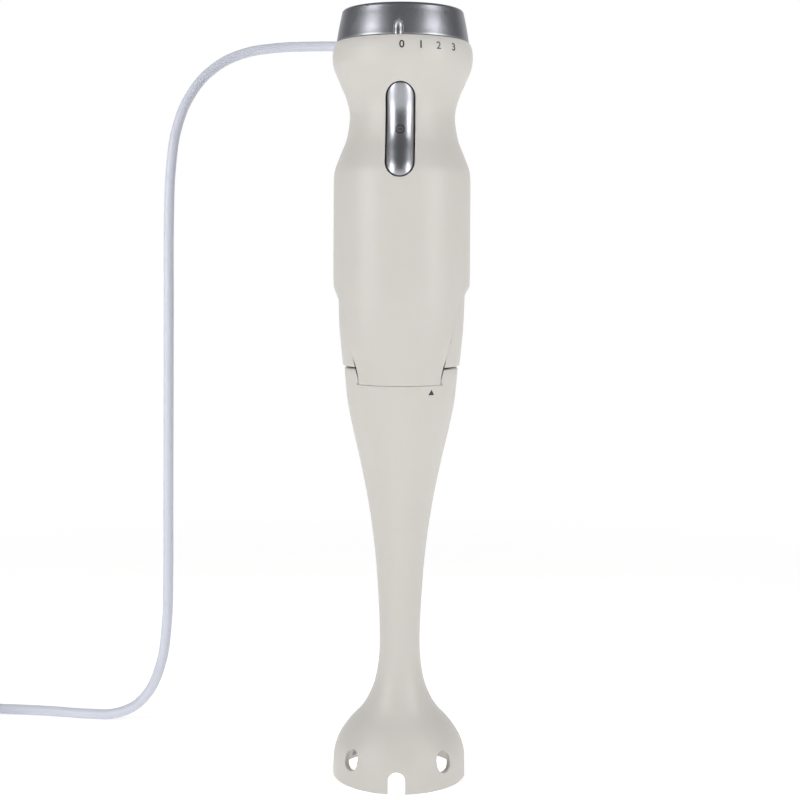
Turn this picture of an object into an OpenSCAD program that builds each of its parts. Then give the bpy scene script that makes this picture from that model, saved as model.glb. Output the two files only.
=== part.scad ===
// Immersion blender standing on its bell.
// Origin: centre of the bell's rim on the floor. +Z runs up the drive axis, the start button faces -Y.

/* [Overall] */
// Height of the blending arm, from the bell's rim to the seam under the release buttons
arm_h = 206.2; // [190:0.2:260]
// Height of the handle, from that seam to the dial's lower edge
handle_h = 161.8; // [160:0.2:210]
// Height of the speed dial
dial_h = 16.4; // [12:0.2:26]

/* [Handle] */
// Radius of the straight grip
grip_r = 34.4; // [34:0.1:44]
// Radius of the waist behind the start button
waist_r = 26.4; // [26:0.1:34]
// Radius of the shoulder under the dial
shoulder_r = 35.2; // [35:0.1:44]
// Wall of the two handle shells
shell_wall = 2.2; // [1.6:0.1:2.8]
// How far the front and rear tongues reach down over the arm
tongue_drop = 8.1; // [5:0.1:12]
// Height of the button recess above the seam
recess_h = 40.2; // [38:0.1:50]
// Half width of the button recess, and the radius of its round top
recess_half_w = 20; // [17:0.1:21]

/* [Dial] */
// Radius at the dial's lower edge
dial_low_r = 33.2; // [30:0.1:34]
// Radius at the dial's upper edge
dial_top_r = 30.2; // [26:0.1:32]
// Wall of the dial cap
dial_wall = 2; // [1.5:0.1:3]
// Radius of the dial's spindle
spindle_r = 3; // [2:0.1:5]

/* [Start button] */
// Width of the button's opening
slot_w = 14.6; // [10:0.1:18]
// Height of the button's opening
slot_h = 46.4; // [36:0.2:50]
// Gap all round the start button
button_gap = 0.5; // [0.3:0.05:0.8]
// Travel of the start button
button_travel = 2; // [1:0.1:3]

/* [Release buttons] */
// Travel of each release button
release_travel = 2; // [1.5:0.1:2.4]
// Gap all round a release button
release_gap = 0.4; // [0.3:0.05:0.8]

/* [Arm] */
// Radius of the arm's top edge
arm_top_r = 28.5; // [28:0.1:30]
// Smallest radius of the arm, above the bell
neck_r = 10.1; // [9.5:0.1:14]
// Wall of the arm's tube
arm_wall = 2.2; // [1.6:0.1:2.6]
// Radius of the bell's rim
bell_r = 33.3; // [32:0.1:42]
// Wall of the bell
bell_wall = 2.6; // [2:0.1:3.5]
// Width of the notches in the bell's rim
notch_w = 8.4; // [5:0.1:11]
// Height of those notches
notch_h = 10.6; // [6:0.1:12]
// Width of the oval holes between the notches
hole_w = 8.7; // [5:0.1:11]
// Height of the oval holes
hole_h = 10.2; // [6:0.1:12]

/* [Blade] */
// Radius swept by the blade
blade_r = 24; // [18:0.5:25]
// Thickness of the blade
blade_t = 1.5; // [1:0.1:2]
// Height of the blade's underside above the rim
blade_z = 12; // [10:0.5:15]
// Radius of the drive spindle
drive_r = 3; // [2.5:0.1:4]

/* [Motor] */
// Radius of the stator stack
stator_r = 28; // [26:0.1:29]
// Length of the stator stack
stator_h = 26; // [20:0.5:32]
// Radius of the armature
armature_r = 15.6; // [12:0.1:15.8]
// Radius of the motor's shaft
motor_shaft_r = 3; // [2.5:0.1:4]
// Outer radius of the motor's ball bearings
bearing_r = 9.5; // [8:0.1:11]
// Width of those bearings
bearing_w = 6; // [4:0.1:7]

/* [Cord] */
// Radius of the mains cord
cord_r = 2.75; // [2.5:0.05:3]
// Length of the strain relief
relief_len = 30; // [20:1:40]
// Radius of a plug pin
pin_r = 2.4; // [2:0.1:2.4]
// Free length of a plug pin
pin_len = 19; // [17:0.5:19]
// Distance between the pins' axes
pin_pitch = 19; // [18:0.1:19.2]

/* [Hidden] */
$fn = 96;
// Round cutters run this much past the face they cut.
cut = 1;
// Gap between pieces that drop in beside each other without a fit.
slack = 0.3;
// Radial play of a turning fit.
running = 0.05;

seam_z = arm_h;
top_z = arm_h + handle_h;
tongue_z = seam_z - tongue_drop;
ledge_z = seam_z + recess_h;
waist_z = top_z - 38;
grip_top_z = top_z - 66;

function unit(v) = v / norm(v);
// Point at share t between b and c of a smooth curve through a, b, c and d.
function blend_point(a, b, c, d, t) =
    0.5 * (2 * b + (c - a) * t + (2 * a - 5 * b + 4 * c - d) * t * t
    + (3 * b - a - 3 * c + d) * t * t * t);
// Smooth curve through the points p, with n steps between two of them.
function curve(p, n) = concat(
    [for (i = [0:len(p) - 2], k = [0:n - 1])
        blend_point(p[max(i - 1, 0)], p[i], p[i + 1], p[min(i + 2, len(p) - 1)], k / n)],
    [p[len(p) - 1]]);
// The same outline moved sideways by w, to the right of the way that it runs.
function moved(p, w) = [for (i = [0:len(p) - 1])
    let (along = unit(p[min(i + 1, len(p) - 1)] - p[max(i - 1, 0)]))
    p[i] + w * [along[1], -along[0]]];
function reversed(p) = [for (i = [len(p) - 1:-1:0]) p[i]];

// ---- outlines, as [radius, height], running upwards ----
tongue_low_r = arm_top_r - 0.25;
handle_low = curve([
    [tongue_low_r, tongue_z],
    [tongue_low_r + 1.05, seam_z],
    [grip_r - 2.5, ledge_z - 29],
    [grip_r - 1.1, ledge_z - 16],
    [grip_r - 0.3, ledge_z - 5],
    [grip_r, ledge_z + 6]], 4);
handle_high = curve([
    [grip_r, grip_top_z - 4],
    [grip_r - 0.5, grip_top_z + 2],
    [grip_r - 3, grip_top_z + 9],
    [waist_r + 1.6, waist_z - 10],
    [waist_r, waist_z + 1],
    [waist_r + 1.6, waist_z + 9.5],
    [shoulder_r - 3.8, top_z - 20.3],
    [shoulder_r - 0.6, top_z - 12.4],
    [shoulder_r, top_z - 6.5],
    [shoulder_r - 0.6, top_z - 2.2],
    [dial_low_r + 0.3, top_z - 0.1]], 4);
handle_outer = concat(handle_low, handle_high);

// The shells' inside, and its radius at height z.
inner_grip_r = grip_r - shell_wall;
inner_low = moved(handle_low, -shell_wall);
inner_high = [for (p = moved(handle_high, -shell_wall)) if (p[1] < top_z - 9) p];
inner_low_r = tongue_low_r - shell_wall;
handle_inner = concat(
    [[inner_low_r, tongue_z]],
    [for (p = inner_low) if (p[1] > tongue_z + 1) p],
    inner_high,
    [[dial_low_r - shell_wall, top_z - 7], [dial_low_r - shell_wall, top_z - 0.1]]);
function inner_r(z) = lookup(z, [for (p = handle_inner) [p[1], p[0]]]);

// A release button's face, a little under the skin, from the seam up.
face_low_r = arm_top_r + 0.8;
face_top_r = grip_r - 2.45;
// How far the face lies under the skin, low down.
face_sink = 1.48;
face_knee_z = seam_z + 12.6;
function skin_r(z) = lookup(z, [for (p = handle_low) [p[1], p[0]]]);
button_face = curve([
    [face_low_r, seam_z],
    [skin_r(face_knee_z) - face_sink, face_knee_z],
    [face_top_r - 0.6, ledge_z - 18],
    [face_top_r, ledge_z + 1]], 3);

arm_flare_z = seam_z - 4;
neck_z = 66;
function flare(t, s) = [neck_r + (arm_top_r - neck_r) * s, neck_z + (arm_flare_z - neck_z) * t];
arm_outer = curve([
    [bell_r, 0],
    [bell_r, 5.5],
    [bell_r - 0.5, 11.5],
    [bell_r - 2.6, 18.3],
    [bell_r - 7.6, 25.9],
    [18.4, 34],
    [13.4, 43.8],
    [11, 54],
    flare(0, 0),
    flare(0.14, 0.03),
    flare(0.32, 0.125),
    flare(0.5, 0.3),
    flare(0.66, 0.53),
    flare(0.8, 0.77),
    flare(0.9, 0.915),
    flare(1, 0.99)], 4);
bell_top_z = 33;
bell_inner = concat(
    [for (p = moved(arm_outer, -bell_wall)) if (p[1] < bell_top_z - 2 && p[0] > neck_r) p],
    [[neck_r + 2.5, bell_top_z]]);
tube_inner = [for (p = moved(arm_outer, -arm_wall)) if (p[1] > neck_z && p[1] < seam_z - 14) p];
bush_r = neck_r - arm_wall;

module turned(points) {
    rotate_extrude() polygon(points);
}

module ring(r_out, r_in, z0, z1) {
    translate([0, 0, z0]) difference() {
        cylinder(r = r_out, h = z1 - z0);
        translate([0, 0, -cut]) cylinder(r = r_in, h = z1 - z0 + 2 * cut);
    }
}

module sector(r_out, r_in, z0, z1, from, to) {
    rotate([0, 0, from]) rotate_extrude(angle = to - from)
        translate([r_in, z0]) square([r_out - r_in, z1 - z0]);
}

module cylinder_at(r, z0, z1) {
    translate([0, 0, z0]) cylinder(r = r, h = z1 - z0);
}

// A box given by its lowest and highest corners.
module block(low, high) {
    translate(low) cube(high - low);
}

// ---- swept tubes: the cord, wires and springs ----
function next_side(u, t) = unit(u - (u * t) * t);
function sides(t, u, i = 1) = i >= len(t) ? u : sides(t, concat(u, [next_side(u[i - 1], t[i])]), i + 1);
module tube(path, r, n) {
    last = len(path) - 1;
    t = [for (i = [0:last]) unit(path[min(i + 1, last)] - path[max(i - 1, 0)])];
    start = abs(t[0][2]) < 0.9 ? [0, 0, 1] : [1, 0, 0];
    u = sides(t, [next_side(start, t[0])]);
    points = [for (i = [0:last], k = [0:n - 1])
        path[i] + r * (cos(360 * k / n) * u[i] + sin(360 * k / n) * cross(t[i], u[i]))];
    skin = [for (i = [0:last - 1], k = [0:n - 1])
        [i * n + k, i * n + (k + 1) % n, (i + 1) * n + (k + 1) % n, (i + 1) * n + k]];
    ends = [[for (k = [n - 1:-1:0]) k], [for (k = [0:n - 1]) last * n + k]];
    polyhedron(points, [for (f = concat(skin, ends)) reversed(f)], convexity = 6);
}

// Helical spring along +Z from the origin.
module spring(r, wire_r, length, turns) {
    steps = 10;
    tube([for (i = [0:turns * steps])
        [r * cos(360 * i / steps), r * sin(360 * i / steps),
         wire_r + (length - 2 * wire_r) * i / (turns * steps)]], wire_r, 6);
}

// ---- handle shells ----
// Arch-shaped prism along X: round top of radius half_w with its apex at height z, straight sides.
module arch_prism(z, half_w, low_z) {
    rotate([90, 0, 90]) linear_extrude(2 * (grip_r + 5), center = true) {
        translate([0, z - half_w]) circle(r = half_w);
        translate([-half_w, low_z]) square([2 * half_w, z - half_w - low_z]);
    }
}

button_foot_z = seam_z + 0.7;

slot_z = waist_z - 7.3;

// Stadium along Y with its middle at height slot_z.
module stadium(w, h, y0, y1) {
    translate([0, y1, slot_z]) rotate([90, 0, 0]) linear_extrude(y1 - y0) {
        square([w, h - w], center = true);
        for (s = [-1, 1]) translate([0, s * (h - w) / 2]) circle(d = w);
    }
}

half = 60;
screw_r = 1.5;
boss_r = 3.2;
boss_x = waist_r - shell_wall - 5.4;
boss_z = waist_z + 6;
boss_y = 13;

exit_z = top_z - 13;
relief_way = unit([-0.3, 0.85, 0.43]);
relief_seat_r = 5.2;
exit_y = shoulder_r - shell_wall - 1;
exit_x = 0;
// Turns its children from +Z into the way that the cord leaves.
module along_exit() {
    translate([exit_x, exit_y, exit_z])
        rotate(a = acos(relief_way[2]), v = cross([0, 0, 1], relief_way)) children();
}

// Both shells as one turned body, with every opening.
module shell_body() {
    difference() {
        turned(concat(handle_outer, reversed(handle_inner)));
        // openings for the release buttons and the arm's two ears
        difference() {
            arch_prism(ledge_z, recess_half_w, tongue_z - cut);
            block([-14, -half, 0], [14, half, top_z]);
        }
        stadium(slot_w, slot_h, -60, 0);
    }
}

module front_housing() {
    color("#d6d2ca") {
        intersection() {
            shell_body();
            block([-half, -half, 0], [half, 0, top_z + half]);
        }
        for (s = [-1, 1]) translate([s * boss_x, 0, boss_z]) rotate([90, 0, 0]) difference() {
            cylinder(r = boss_r, h = boss_y);
            translate([0, 0, -cut]) cylinder(r = screw_r, h = boss_y);
        }
    }
}

module rear_housing() {
    color("#d2cec6") {
        difference() {
            intersection() {
                shell_body();
                block([-half, 0, 0], [half, half, top_z + half]);
            }
            along_exit() translate([0, 0, -12]) cylinder(r = relief_seat_r, h = 30);
            along_exit() translate([0, 0, -12]) cylinder(r = relief_seat_r + 1.8, h = 10.9);
            for (s = [-1, 1]) translate([s * boss_x, boss_y, boss_z]) rotate([-90, 0, 0])
                cylinder(r = boss_r - 0.6, h = half);
        }
        for (s = [-1, 1]) translate([s * boss_x, 0, boss_z]) rotate([-90, 0, 0]) difference() {
            cylinder(r = boss_r, h = boss_y);
            translate([0, 0, -cut]) cylinder(r = screw_r, h = boss_y + 2 * cut);
        }
    }
}

module housing_screws() {
    color("#9a9ca0") for (s = [-1, 1]) translate([s * boss_x, 0, boss_z]) rotate([90, 0, 0]) {
        translate([0, 0, -boss_y]) cylinder(r = screw_r, h = 2 * boss_y - 2);
        difference() {
            translate([0, 0, -boss_y - 2]) cylinder(r = boss_r - 0.8, h = 2);
            translate([-0.4, -2, -boss_y - 2 - cut]) cube([0.8, 4, 1.8]);
        }
    }
}

// ---- dial ----
dial_gap = 0.2;
seat_top_z = top_z - 2.4;
seat_t = 3;
seat_r = dial_low_r - shell_wall;
dial_r = dial_low_r;

detent_y = 16;
detent_r = 1.6;
module dial_seat() {
    color("#3b3c40") difference() {
        union() {
            ring(seat_r, spindle_r + 0.6, seat_top_z - seat_t, seat_top_z);
            ring(seat_r - 6, seat_r - 8, seat_top_z, seat_top_z + 1.4);
        }
        translate([0, -detent_y, seat_top_z - seat_t - cut]) cylinder(r = detent_r + 0.2, h = 8);
    }
}

module detent_spring() {
    // the dial's click: a steel ball on a short spring in the seat
    color("#b9bbbf") {
        translate([0, -detent_y, seat_top_z - 0.2]) sphere(r = detent_r);
        translate([0, -detent_y, seat_top_z - seat_t]) cylinder(r = detent_r - 0.5, h = 1);
    }
}

// Height of the rounding at the dial's upper edge.
edge = 1.9;
module speed_dial() {
    low = top_z + dial_gap;
    high = low + dial_h - dial_gap;
    outer = concat(
        [[dial_r, low], [dial_r - 0.2, low + 1.2], [dial_top_r + 0.4, high - edge]],
        [for (a = [15:15:90]) [dial_top_r - 1.5 + edge * cos(a), high - edge + (edge - 0.15) * sin(a)]],
        [[dial_top_r - 9, high - 0.12], [0, high]]);
    inner = [
        [0, high - dial_wall - 0.4],
        [dial_top_r - 4, high - dial_wall - 0.6],
        [dial_top_r - 1.8, high - edge - 2.3],
        [dial_r - dial_wall - 0.2, low]];
    color("#8b8c94") difference() {
        union() {
            turned(concat(outer, inner));
            translate([0, 0, low]) cylinder(r = 7, h = high - dial_wall - low);
        }
        // bore that takes the spindle
        translate([0, 0, low - cut]) cylinder(r = spindle_r, h = dial_spindle_in + cut);
        // scooped pointer over the marks
        translate([0, -dial_r - 1.2, low - cut]) rotate([-12, 0, 0]) cylinder(r = 2.5, h = 6);
        translate([0, -dial_r - 1.2, low - cut]) rotate([-12, 0, 0])
            translate([0, 0, 6]) sphere(r = 2.5);
    }
}

dial_spindle_in = 10;
switch_z = seat_top_z - seat_t - 9.4;
module dial_spindle() {
    color("#c9cacd") translate([0, 0, switch_z + 4])
        cylinder(r = spindle_r, h = top_z + dial_gap + dial_spindle_in - switch_z - 4);
}

module speed_switch() {
    // rotary speed control under the dial
    color("#2d4f7c") difference() {
        union() {
            translate([0, 0, switch_z]) cylinder(r = 11, h = 7.4);
            translate([0, 0, switch_z + 7.4]) cylinder(r = 5.5, h = 2);
        }
        translate([0, 0, switch_z + 4]) cylinder(r = spindle_r + running, h = 8);
    }
}

// ---- start button and its switch ----
skin_out = 0.9;
button_back = 2.2;
module band(out, back) {
    // the handle's own curve, from out in front of its skin to back behind it
    turned(concat(moved(handle_high, out), reversed(moved(handle_high, -back))));
}

// The switch's plunger, and the stem that stops just short of it when the button is pressed.
plunger = 1.2;
stem_y = -5 - plunger - button_travel - slack;
module power_button() {
    color("#9fa0a8") {
        intersection() {
            band(skin_out, button_back);
            stadium(slot_w - 2 * button_gap, slot_h - 2 * button_gap, -60, -5);
        }
        intersection() {
            // lip behind the opening that keeps the button in
            turned(concat(moved(handle_high, -shell_wall - slack - 0.1),
                reversed(moved(handle_high, -shell_wall - 1.5))));
            stadium(slot_w + 1.6, slot_h + 1.6, -60, -5);
        }
        // stem that reaches the switch
        translate([0, stem_y, slot_z + 2]) rotate([90, 0, 0])
            cylinder(r = 2.4, h = waist_r - shell_wall - 1.2 + stem_y);
    }
}

board_y = 5;
board_t = 1.6;
board_half_w = 14;
board_low_z = grip_top_z + 14.5;
board_high_z = switch_z - 2;
module circuit_board() {
    color("#2f6b45") difference() {
        block([-board_half_w, board_y, board_low_z], [board_half_w, board_y + board_t, board_high_z]);
        for (s = [-1, 1]) translate([s * (board_half_w - 3), 0, board_high_z - 4])
            rotate([-90, 0, 0]) cylinder(r = 1.2, h = 20);
    }
}

module start_switch() {
    color("#1f1f22") {
        block([-6.4, -5, slot_z - 4], [6.4, board_y, slot_z + 6]);
        translate([0, -5, slot_z + 2]) rotate([90, 0, 0]) cylinder(r = 1.6, h = plunger);
    }
}

module button_spring() {
    color("#c4c6ca") translate([0, -5, slot_z + 2]) rotate([90, 0, 0])
        spring(3.4, 0.35, -5 - (-waist_r + shell_wall + 2.4), 5);
}

module board_components() {
    // capacitor, choke, fuse and terminal block
    color("#b56a2d") {
        translate([-7, board_y + board_t, board_low_z + 9]) rotate([-90, 0, 0]) cylinder(r = 4.5, h = 9);
        block([1, board_y + board_t, board_low_z + 3], [12, board_y + board_t + 6, board_low_z + 16]);
        translate([-12, board_y - 2.4, board_high_z - 10]) rotate([0, 90, 0]) cylinder(r = 2.2, h = 9);
        block([-12, board_y + board_t, board_high_z - 9], [-3, board_y + board_t + 7, board_high_z - 2]);
    }
}

module heat_sink() {
    // finned plate behind the speed control's triac
    x0 = 3;
    z0 = board_low_z + 19;
    color("#b4b7bb") {
        block([x0, board_y + board_t, z0], [x0 + 9, board_y + board_t + 1.5, z0 + 10]);
        for (i = [0:3])
            block([x0 + i * 2.4, board_y + board_t + 1.5, z0],
                [x0 + i * 2.4 + 1.2, board_y + board_t + 6, z0 + 10]);
    }
}

// ---- cord entry ----
module strain_relief() {
    // boot that grips the shell's opening and bends with the cord
    flange = relief_seat_r + 1.6;
    grooves = 5;
    pitch = (relief_len - 9.4) / grooves;
    body = concat(
        [[0, -3.2], [flange, -3.2], [flange, -1.2], [relief_seat_r, -1.2], [relief_seat_r, 6.4],
         [relief_seat_r + 0.3, 7]],
        [for (i = [0:grooves - 1], k = [0:3])
            let (z = 7.2 + (i + k / 4) * pitch, wide = relief_seat_r + 0.4 - 1.9 * (z / relief_len))
            [k < 2 ? wide : wide - 0.8, z]],
        [[cord_r + 0.5, relief_len - 2], [cord_r + 0.3, relief_len], [0, relief_len]]);
    color("#c9ccd4") along_exit() turned(body);
}

module cord_clamp() {
    // bridge that holds the cord's jacket inside the rear shell
    color("#e4e1d8") translate([0, 17, exit_z - 4]) difference() {
        block([-8, -2.5, -5], [8, 2.5, 3.4]);
        rotate([90, 0, 0]) cylinder(r = cord_r, h = 10, center = true);
    }
}

// ---- mains cord ----
// Route of the cord from the strain relief's tip: round the left side, down to the floor, out to the coil.
relief_tip = [exit_x, exit_y, exit_z] + relief_len * relief_way;
cord_points = [
    relief_tip + 4 * relief_way, [-14, 69, 374], [-23, 80, 377.6], [-38, 87, 379.2], [-56, 88, 379.3],
    [-75, 85, 378], [-93, 80, 374], [-108, 74, 365], [-119, 68, 351], [-126, 64, 333], [-129, 61, 311],
    [-130, 60, 280], [-130, 60, 240], [-130, 60, 200], [-130, 60, 160], [-130, 60, 120],
    [-130, 60, 84], [-131, 61, 58], [-135, 63, 34], [-145, 67, 15], [-160, 72, 5],
    [-178, 76, 2.8], [-200, 79.6, 2.8], [-225, 82, 2.8], [-246, 82.7, 2.8]];
coil_centre = [-262, 51];
coil_mean_r = 29;
coil_entry = [coil_centre[0], coil_centre[1] + coil_mean_r + cord_r, 2.8];
lead_path = curve(concat([relief_tip], cord_points, [coil_entry]), 3);
cord_sides = 8;
module cord_lead() {
    color("#cdd0dc") tube(lead_path, cord_r, cord_sides);
}

coil_h = 4 * cord_r;
coil_half_w = 2 * cord_r;
module cord_coil() {
    // outer form of the wound part of the cord
    color("#cdd0dc") translate([coil_centre[0], coil_centre[1], 0]) difference() {
        ring(coil_mean_r + coil_half_w + 0.4, coil_mean_r - coil_half_w - 0.4, 0, coil_h + 0.4);
        // the lead comes in here, and the tail leaves above it
        block([0, coil_mean_r - 0.2, -cut], [60, 60, 2 * cord_r + 0.2]);
        block([-coil_mean_r - cord_r - 0.2, -60, 2 * cord_r + 0.2],
            [-coil_mean_r + cord_r + 0.2, 0, coil_h + cut]);
    }
}

tie_angle = -60;
module cord_tie() {
    // strap round the coil's turns
    tie_t = 1;
    tie_w = 7;
    tie_in = coil_half_w + 0.8;
    color("#4a4b50") translate([coil_centre[0], coil_centre[1], 0]) rotate([0, 0, tie_angle])
        translate([coil_mean_r, 0, 0]) difference() {
            block([-tie_in - tie_t, -tie_w / 2, 0], [tie_in + tie_t, tie_w / 2, coil_h + 0.4 + tie_t]);
            block([-tie_in, -tie_w, -cut], [tie_in, tie_w, coil_h + 0.4]);
        }
}

// The plug lies beside the coil, with its pins towards -Y.
plug_half_h = 12.5;
plug_r = 18;
plug_len = 40;
plug_x = coil_centre[0] - coil_mean_r;
plug_back_y = coil_centre[1] - 42;
plug_face_y = plug_back_y - plug_len;
// The part of a pin that is moulded into the plug.
pin_root = 8;
pin_root_r = pin_r - 0.6;
module plug_body() {
    color("#cdd0dc") translate([plug_x, plug_back_y, plug_half_h]) rotate([90, 0, 0]) difference() {
        intersection() {
            turned([[0, 0], [cord_r + 1, 0], [cord_r + 1.6, 2], [8, 14], [13, 24], [plug_r, 31],
                [plug_r, plug_len], [0, plug_len]]);
            block([-plug_r, -plug_half_h, 0], [plug_r, plug_half_h, plug_len]);
        }
        for (s = [-1, 1]) translate([s * pin_pitch / 2, 0, plug_len - pin_root])
            cylinder(r = pin_root_r, h = pin_root + cut);
    }
}

module plug_pins() {
    color("#c8c9cc") for (s = [-1, 1])
        translate([plug_x + s * pin_pitch / 2, plug_face_y + pin_root, plug_half_h]) rotate([90, 0, 0])
            turned([[0, 0], [pin_root_r, 0], [pin_root_r, pin_root], [pin_r, pin_root],
                [pin_r, pin_root + pin_len - 1], [pin_r - 0.8, pin_root + pin_len], [0, pin_root + pin_len]]);
}

module cord_tail() {
    // from the coil's last turn to the plug
    color("#cdd0dc") tube(curve([
        [plug_x, coil_centre[1], 3 * cord_r + 0.2],
        [plug_x, coil_centre[1] - 14, 3 * cord_r + 0.5],
        [plug_x, coil_centre[1] - 24, 10.5],
        [plug_x, coil_centre[1] - 34, 12],
        [plug_x, plug_back_y, plug_half_h]], 2), cord_r, cord_sides);
}

// ---- motor ----
base_z = seam_z + 13;
base_t = 3;
bracket_z = base_z + 19;
fan_z = bracket_z + 6;
fan_h = 7;
fan_r = 23;
stator_z = fan_z + fan_h + 7;
stator_top_z = stator_z + stator_h;
coil_over = 5.5;
commutator_z = stator_top_z + 9;
commutator_h = 10;
commutator_r = 9;
top_bracket_z = commutator_z + commutator_h + 1.5;
leg_r = stator_r - 2;
leg_half = 2.6;
// The two legs stand aside of the start button, the field coils and the brushes.
leg_turn = 38;

// Its children at the place of each leg, with +Y outwards.
module legs() {
    for (s = [0, 180]) rotate([0, 0, leg_turn + s]) translate([0, leg_r, 0]) children();
}

// Half angles that a pole of the stator and the coil round it take up.
pole_angle = 30;
coil_angle = 62;

module motor_stator() {
    pole_r = armature_r + 0.6;
    color("#8f9296") difference() {
        union() {
            ring(stator_r, stator_r - 4, stator_z, stator_top_z);
            for (a = [0, 180])
                sector(stator_r - 3, pole_r, stator_z, stator_top_z, a - pole_angle, a + pole_angle);
        }
        legs() translate([0, 0, stator_z - cut]) cylinder(r = screw_r, h = stator_h + 2 * cut);
    }
}

module field_coils() {
    color("#a8602c") for (a = [0, 180]) difference() {
        sector(stator_r - 4.9, armature_r + 1.6, stator_z - coil_over, stator_top_z + coil_over,
            a - coil_angle, a + coil_angle);
        sector(stator_r, armature_r, stator_z - slack, stator_top_z + slack,
            a - pole_angle - 3, a + pole_angle + 3);
    }
}

module motor_bottom_bracket() {
    color("#c9c6bc") difference() {
        union() {
            ring(leg_r - 3, bearing_r + 1.8, bracket_z, bracket_z + 3);
            ring(bearing_r + 2, bearing_r, bracket_z - 3, bracket_z + 3);
            ring(bearing_r + 0.5, motor_shaft_r + 1, bracket_z - 4.2, bracket_z - 3);
            legs() {
                block([-leg_half, -leg_half, bracket_z], [leg_half, leg_half, stator_z]);
                block([-leg_half, -5, bracket_z], [leg_half, 0, bracket_z + 3]);
            }
        }
        legs() translate([0, 0, bracket_z - cut]) cylinder(r = screw_r, h = stator_z);
    }
}

module motor_top_bracket() {
    color("#c9c6bc") difference() {
        union() {
            ring(leg_r - 3, bearing_r + 1.8, top_bracket_z, top_bracket_z + 3);
            ring(bearing_r + 2, bearing_r, top_bracket_z, top_bracket_z + bearing_w + 0.2);
            ring(bearing_r + 2, motor_shaft_r + 1, top_bracket_z + bearing_w + 0.2,
                top_bracket_z + bearing_w + 1.4);
            legs() {
                block([-leg_half, -leg_half, stator_top_z], [leg_half, leg_half, top_bracket_z + 3]);
                block([-leg_half, -5, top_bracket_z], [leg_half, 0, top_bracket_z + 3]);
            }
        }
        legs() translate([0, 0, stator_top_z - cut]) cylinder(r = screw_r, h = stator_z);
    }
}

module motor_screws() {
    color("#a3a5a9") legs() translate([0, 0, bracket_z]) {
        cylinder(r = screw_r, h = top_bracket_z + 3 - bracket_z);
        translate([0, 0, top_bracket_z + 3 - bracket_z]) difference() {
            cylinder(r = 2.5, h = 1.8);
            translate([-2, -0.4, 1]) cube([4, 0.8, 1]);
        }
    }
}

module bearing(z) {
    // outer ring, inner ring and the balls between them, as one sealed bearing
    color("#b7babf") difference() {
        ring(bearing_r, motor_shaft_r, z, z + bearing_w);
        for (end = [z - cut, z + bearing_w - 0.6])
            ring(bearing_r - 2, motor_shaft_r + 1.6, end, end + cut + 0.6);
    }
}

module bottom_bearing() {
    bearing(bracket_z - 3);
}

module top_bearing() {
    bearing(top_bracket_z + 0.1);
}

module armature_core() {
    slots = 12;
    color("#7d8085") difference() {
        ring(armature_r, motor_shaft_r, stator_z, stator_top_z);
        for (i = [0:slots - 1]) rotate([0, 0, i * 360 / slots])
            block([armature_r - 1.6, -0.7, stator_z - cut], [armature_r + cut, 0.7, stator_top_z + cut]);
    }
}

module armature_windings() {
    color("#b0632a") {
        turned([[4.5, stator_z - coil_over], [11.5, stator_z - coil_over], [13.6, stator_z - 3],
            [13.6, stator_z], [4.5, stator_z]]);
        turned([[4.5, stator_top_z], [13.6, stator_top_z], [13.6, stator_top_z + 3],
            [11.5, stator_top_z + coil_over], [4.5, stator_top_z + coil_over]]);
    }
}

module commutator() {
    bars = 12;
    color("#c07a3e") difference() {
        ring(commutator_r, motor_shaft_r, commutator_z - 1.5, commutator_z + commutator_h - 1);
        for (i = [0:bars - 1]) rotate([0, 0, i * 360 / bars])
            block([commutator_r - 0.6, -0.2, commutator_z - cut - 1],
                [commutator_r + cut, 0.2, commutator_z + commutator_h]);
    }
}

coupling_low_z = seam_z + 1.4;
coupling_h = 13;
coupling_r = 11;
module rotor_shaft() {
    color("#c3c5c9") translate([0, 0, coupling_low_z + 7])
        cylinder(r = motor_shaft_r, h = top_bracket_z + bearing_w - coupling_low_z - 7);
}

module cooling_fan() {
    blades = 11;
    color("#3f4146") {
        ring(7, motor_shaft_r, fan_z, fan_z + fan_h);
        ring(fan_r, 6.5, fan_z, fan_z + 1.4);
        for (i = [0:blades - 1]) rotate([0, 0, i * 360 / blades])
            block([6.5, -0.6, fan_z + 1], [fan_r - 1, 0.6, fan_z + fan_h]);
    }
}

brush_w = 5;
brush_z = commutator_z + commutator_h / 2 - 1;
module brush_holders() {
    color("#b8923f") for (a = [0, 180]) rotate([0, 0, a]) difference() {
        block([commutator_r + 2, -brush_w / 2 - 1, brush_z - brush_w / 2 - 1],
            [stator_r - 1, brush_w / 2 + 1, brush_z + brush_w / 2 + 1]);
        block([commutator_r + 1, -brush_w / 2 - 0.1, brush_z - brush_w / 2 - 0.1],
            [stator_r - 2, brush_w / 2 + 0.1, brush_z + brush_w / 2 + 0.1]);
    }
}

module carbon_brushes() {
    color("#2a2a2c") for (a = [0, 180]) rotate([0, 0, a]) difference() {
        block([commutator_r - 1, -brush_w / 2, brush_z - brush_w / 2],
            [commutator_r + 10, brush_w / 2, brush_z + brush_w / 2]);
        translate([0, 0, commutator_z]) cylinder(r = commutator_r + running, h = commutator_h);
    }
}

module brush_springs() {
    color("#c4c6ca") for (a = [0, 180]) rotate([0, 0, a])
        translate([commutator_r + 10, 0, brush_z]) rotate([0, 90, 0])
            spring(1.8, 0.3, stator_r - commutator_r - 12, 4);
}

module motor_mount_rings() {
    // soft rings between the stator and the shells
    color("#26272a") for (z = [stator_z + 2, stator_top_z - 6])
        ring(inner_grip_r, stator_r, z, z + 4);
}

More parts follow.
